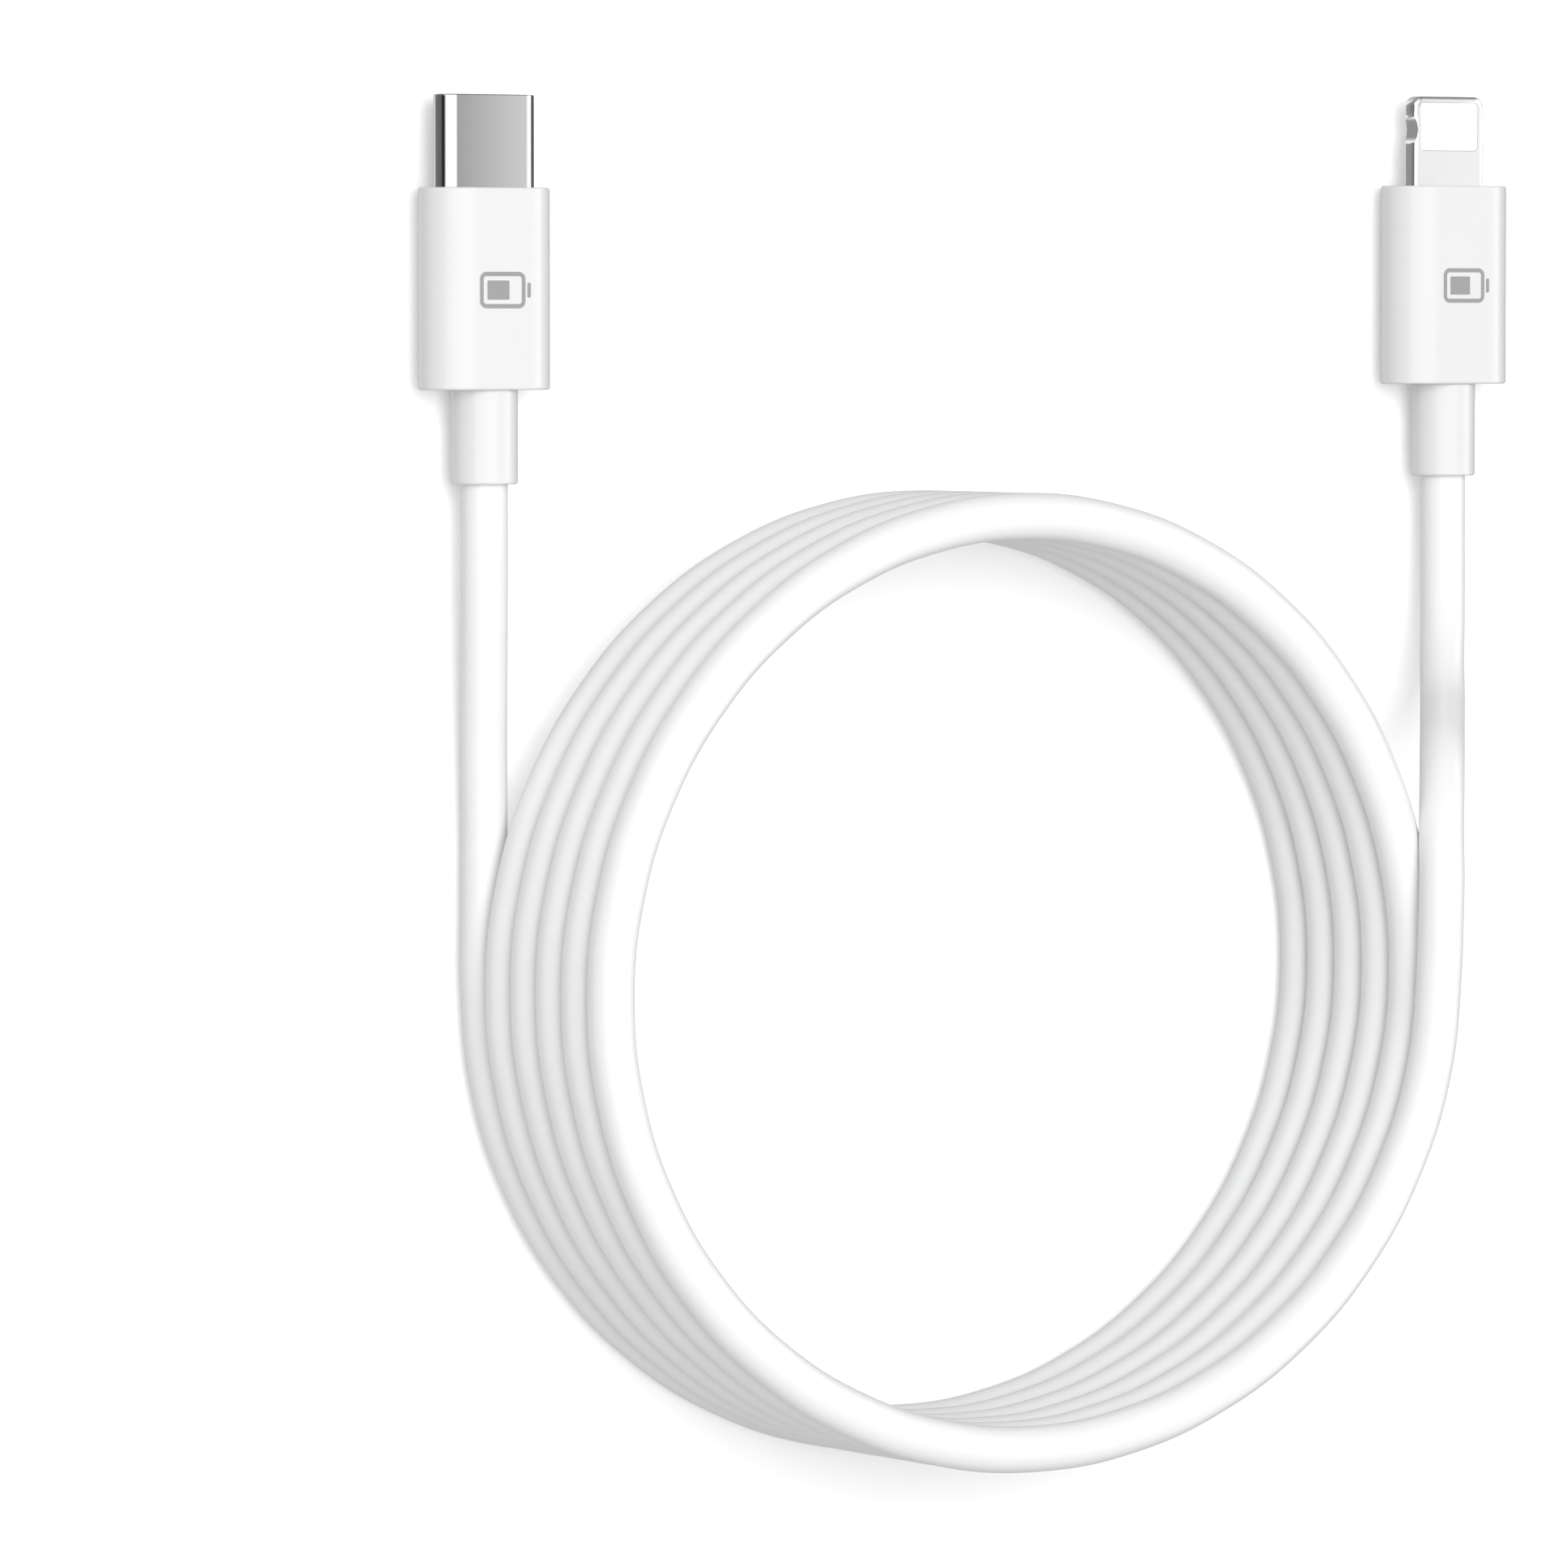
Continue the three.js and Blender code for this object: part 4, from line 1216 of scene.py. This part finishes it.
def map_range(tree, from_low, from_high, to_low, to_high):
    """A node that carries one range of numbers over to another, and stops at its ends."""
    made = tree.nodes.new("ShaderNodeMapRange")
    for socket, value in zip(made.inputs[1:5], (from_low, from_high, to_low, to_high)):
        socket.default_value = value
    return made


def brightness_ramp(tree, across, pairs):
    """The colour of a list of (place, brightness) pairs, at the place across."""
    ramp = tree.nodes.new("ShaderNodeValToRGB")
    elements = ramp.color_ramp.elements
    while len(elements) < len(pairs):
        elements.new(0.5)
    for element, (place, level) in zip(elements, pairs):
        element.position = (place + 1) / 2
        element.color = grey(level / ROOM_BRIGHTEST)
    tree.links.new(across.outputs["Result"], ramp.inputs["Fac"])
    return ramp


def studio_world():
    """Even light for the plastic, shaped light for the gloss, and white paper for the camera."""
    world = bpy.data.worlds.new("studio")
    world.use_nodes = True
    tree = world.node_tree
    place = tree.nodes.new("ShaderNodeTexCoord")
    parts = tree.nodes.new("ShaderNodeSeparateXYZ")
    across = map_range(tree, -1, 1, 0, 1)
    horizon = map_range(tree, -HORIZON_BLUR, HORIZON_BLUR, 0, 1)
    sideways = math_node(tree, "ABSOLUTE", "towards either end")
    ends = map_range(tree, ENDS_START, ENDS_STOP, ROOM_BRIGHTEST, ROOM_BRIGHTEST * ENDS_LEFT)
    halves = tree.nodes.new("ShaderNodeMixRGB")
    chain(
        tree,
        (place, "Generated", parts, "Vector"),
        (parts, "X", across, "Value"),
        (parts, "Y", sideways, 0),
        (sideways, 0, ends, "Value"),
        (parts, "Z", horizon, "Value"),
        (horizon, "Result", halves, "Fac"),
        (brightness_ramp(tree, across, ROOM_BELOW), "Color", halves, "Color1"),
        (brightness_ramp(tree, across, ROOM_ABOVE), "Color", halves, "Color2"),
    )
    sky = tree.nodes["Background"]
    sky.inputs["Color"].default_value = grey(1)
    sky.inputs["Strength"].default_value = SKY
    room = tree.nodes.new("ShaderNodeBackground")
    paper = tree.nodes.new("ShaderNodeBackground")
    paper.inputs["Color"].default_value = grey(1)
    ray = tree.nodes.new("ShaderNodeLightPath")
    gloss = tree.nodes.new("ShaderNodeMixShader")
    seen = tree.nodes.new("ShaderNodeMixShader")
    chain(
        tree,
        (halves, "Color", room, "Color"),
        (ends, "Result", room, "Strength"),
        (ray, "Is Glossy Ray", gloss, "Fac"),
        (sky, "Background", gloss, 1),
        (room, "Background", gloss, 2),
        (ray, "Is Camera Ray", seen, "Fac"),
        (gloss, "Shader", seen, 1),
        (paper, "Background", seen, 2),
        (seen, "Shader", tree.nodes["World Output"], "Surface"),
    )
    return world


bpy.context.scene.world = studio_world()
bpy.context.scene.view_settings.view_transform = "Standard"
print("room:", len(ROOM_ABOVE), "steps of light above the horizon,", len(ROOM_BELOW), "below")

# %% [markdown]
# ## The softbox
#
# One wide softbox hangs over the cable, half way between straight up and the camera. Light from
# there reaches nearly every surface that the camera can see, so the cord's own roundness makes the
# shading: bright along the middle, darker towards the line where one turn meets the next. It is
# wide enough that its shadows have no edge. The room already gives the gloss its highlights, so
# this light is hidden from glossy rays. Its strength is chosen as the light that reaches the coil,
# and turned into watts for its distance, so it can be moved without being set again.

# %% Hang the softbox
SOFTBOX_DISTANCE = 1.0
SOFTBOX_FROM_ZENITH = math.radians(16)
SOFTBOX_TOWARDS_PLUGS = 0.2
SOFTBOX_SIZE = 0.6
SOFTBOX_LIGHT = 0.61
WATTS_PER_LIGHT = math.pi ** 2 * SOFTBOX_DISTANCE ** 2

softbox_data = bpy.data.lights.new("softbox", "AREA")
softbox_data.size = SOFTBOX_SIZE
softbox_data.energy = SOFTBOX_LIGHT * WATTS_PER_LIGHT
softbox = add_object("softbox", softbox_data)
softbox_direction = Vector((
    -math.sin(SOFTBOX_FROM_ZENITH), SOFTBOX_TOWARDS_PLUGS, math.cos(SOFTBOX_FROM_ZENITH)
)).normalized()
softbox.matrix_world = Matrix.Translation(coil_middle + softbox_direction * SOFTBOX_DISTANCE) @ (
    softbox_direction.to_track_quat("Z", "Y").to_matrix().to_4x4()
)
softbox.visible_glossy = False
softbox.visible_camera = False
print("softbox:", round(softbox_data.energy, 2), "W")
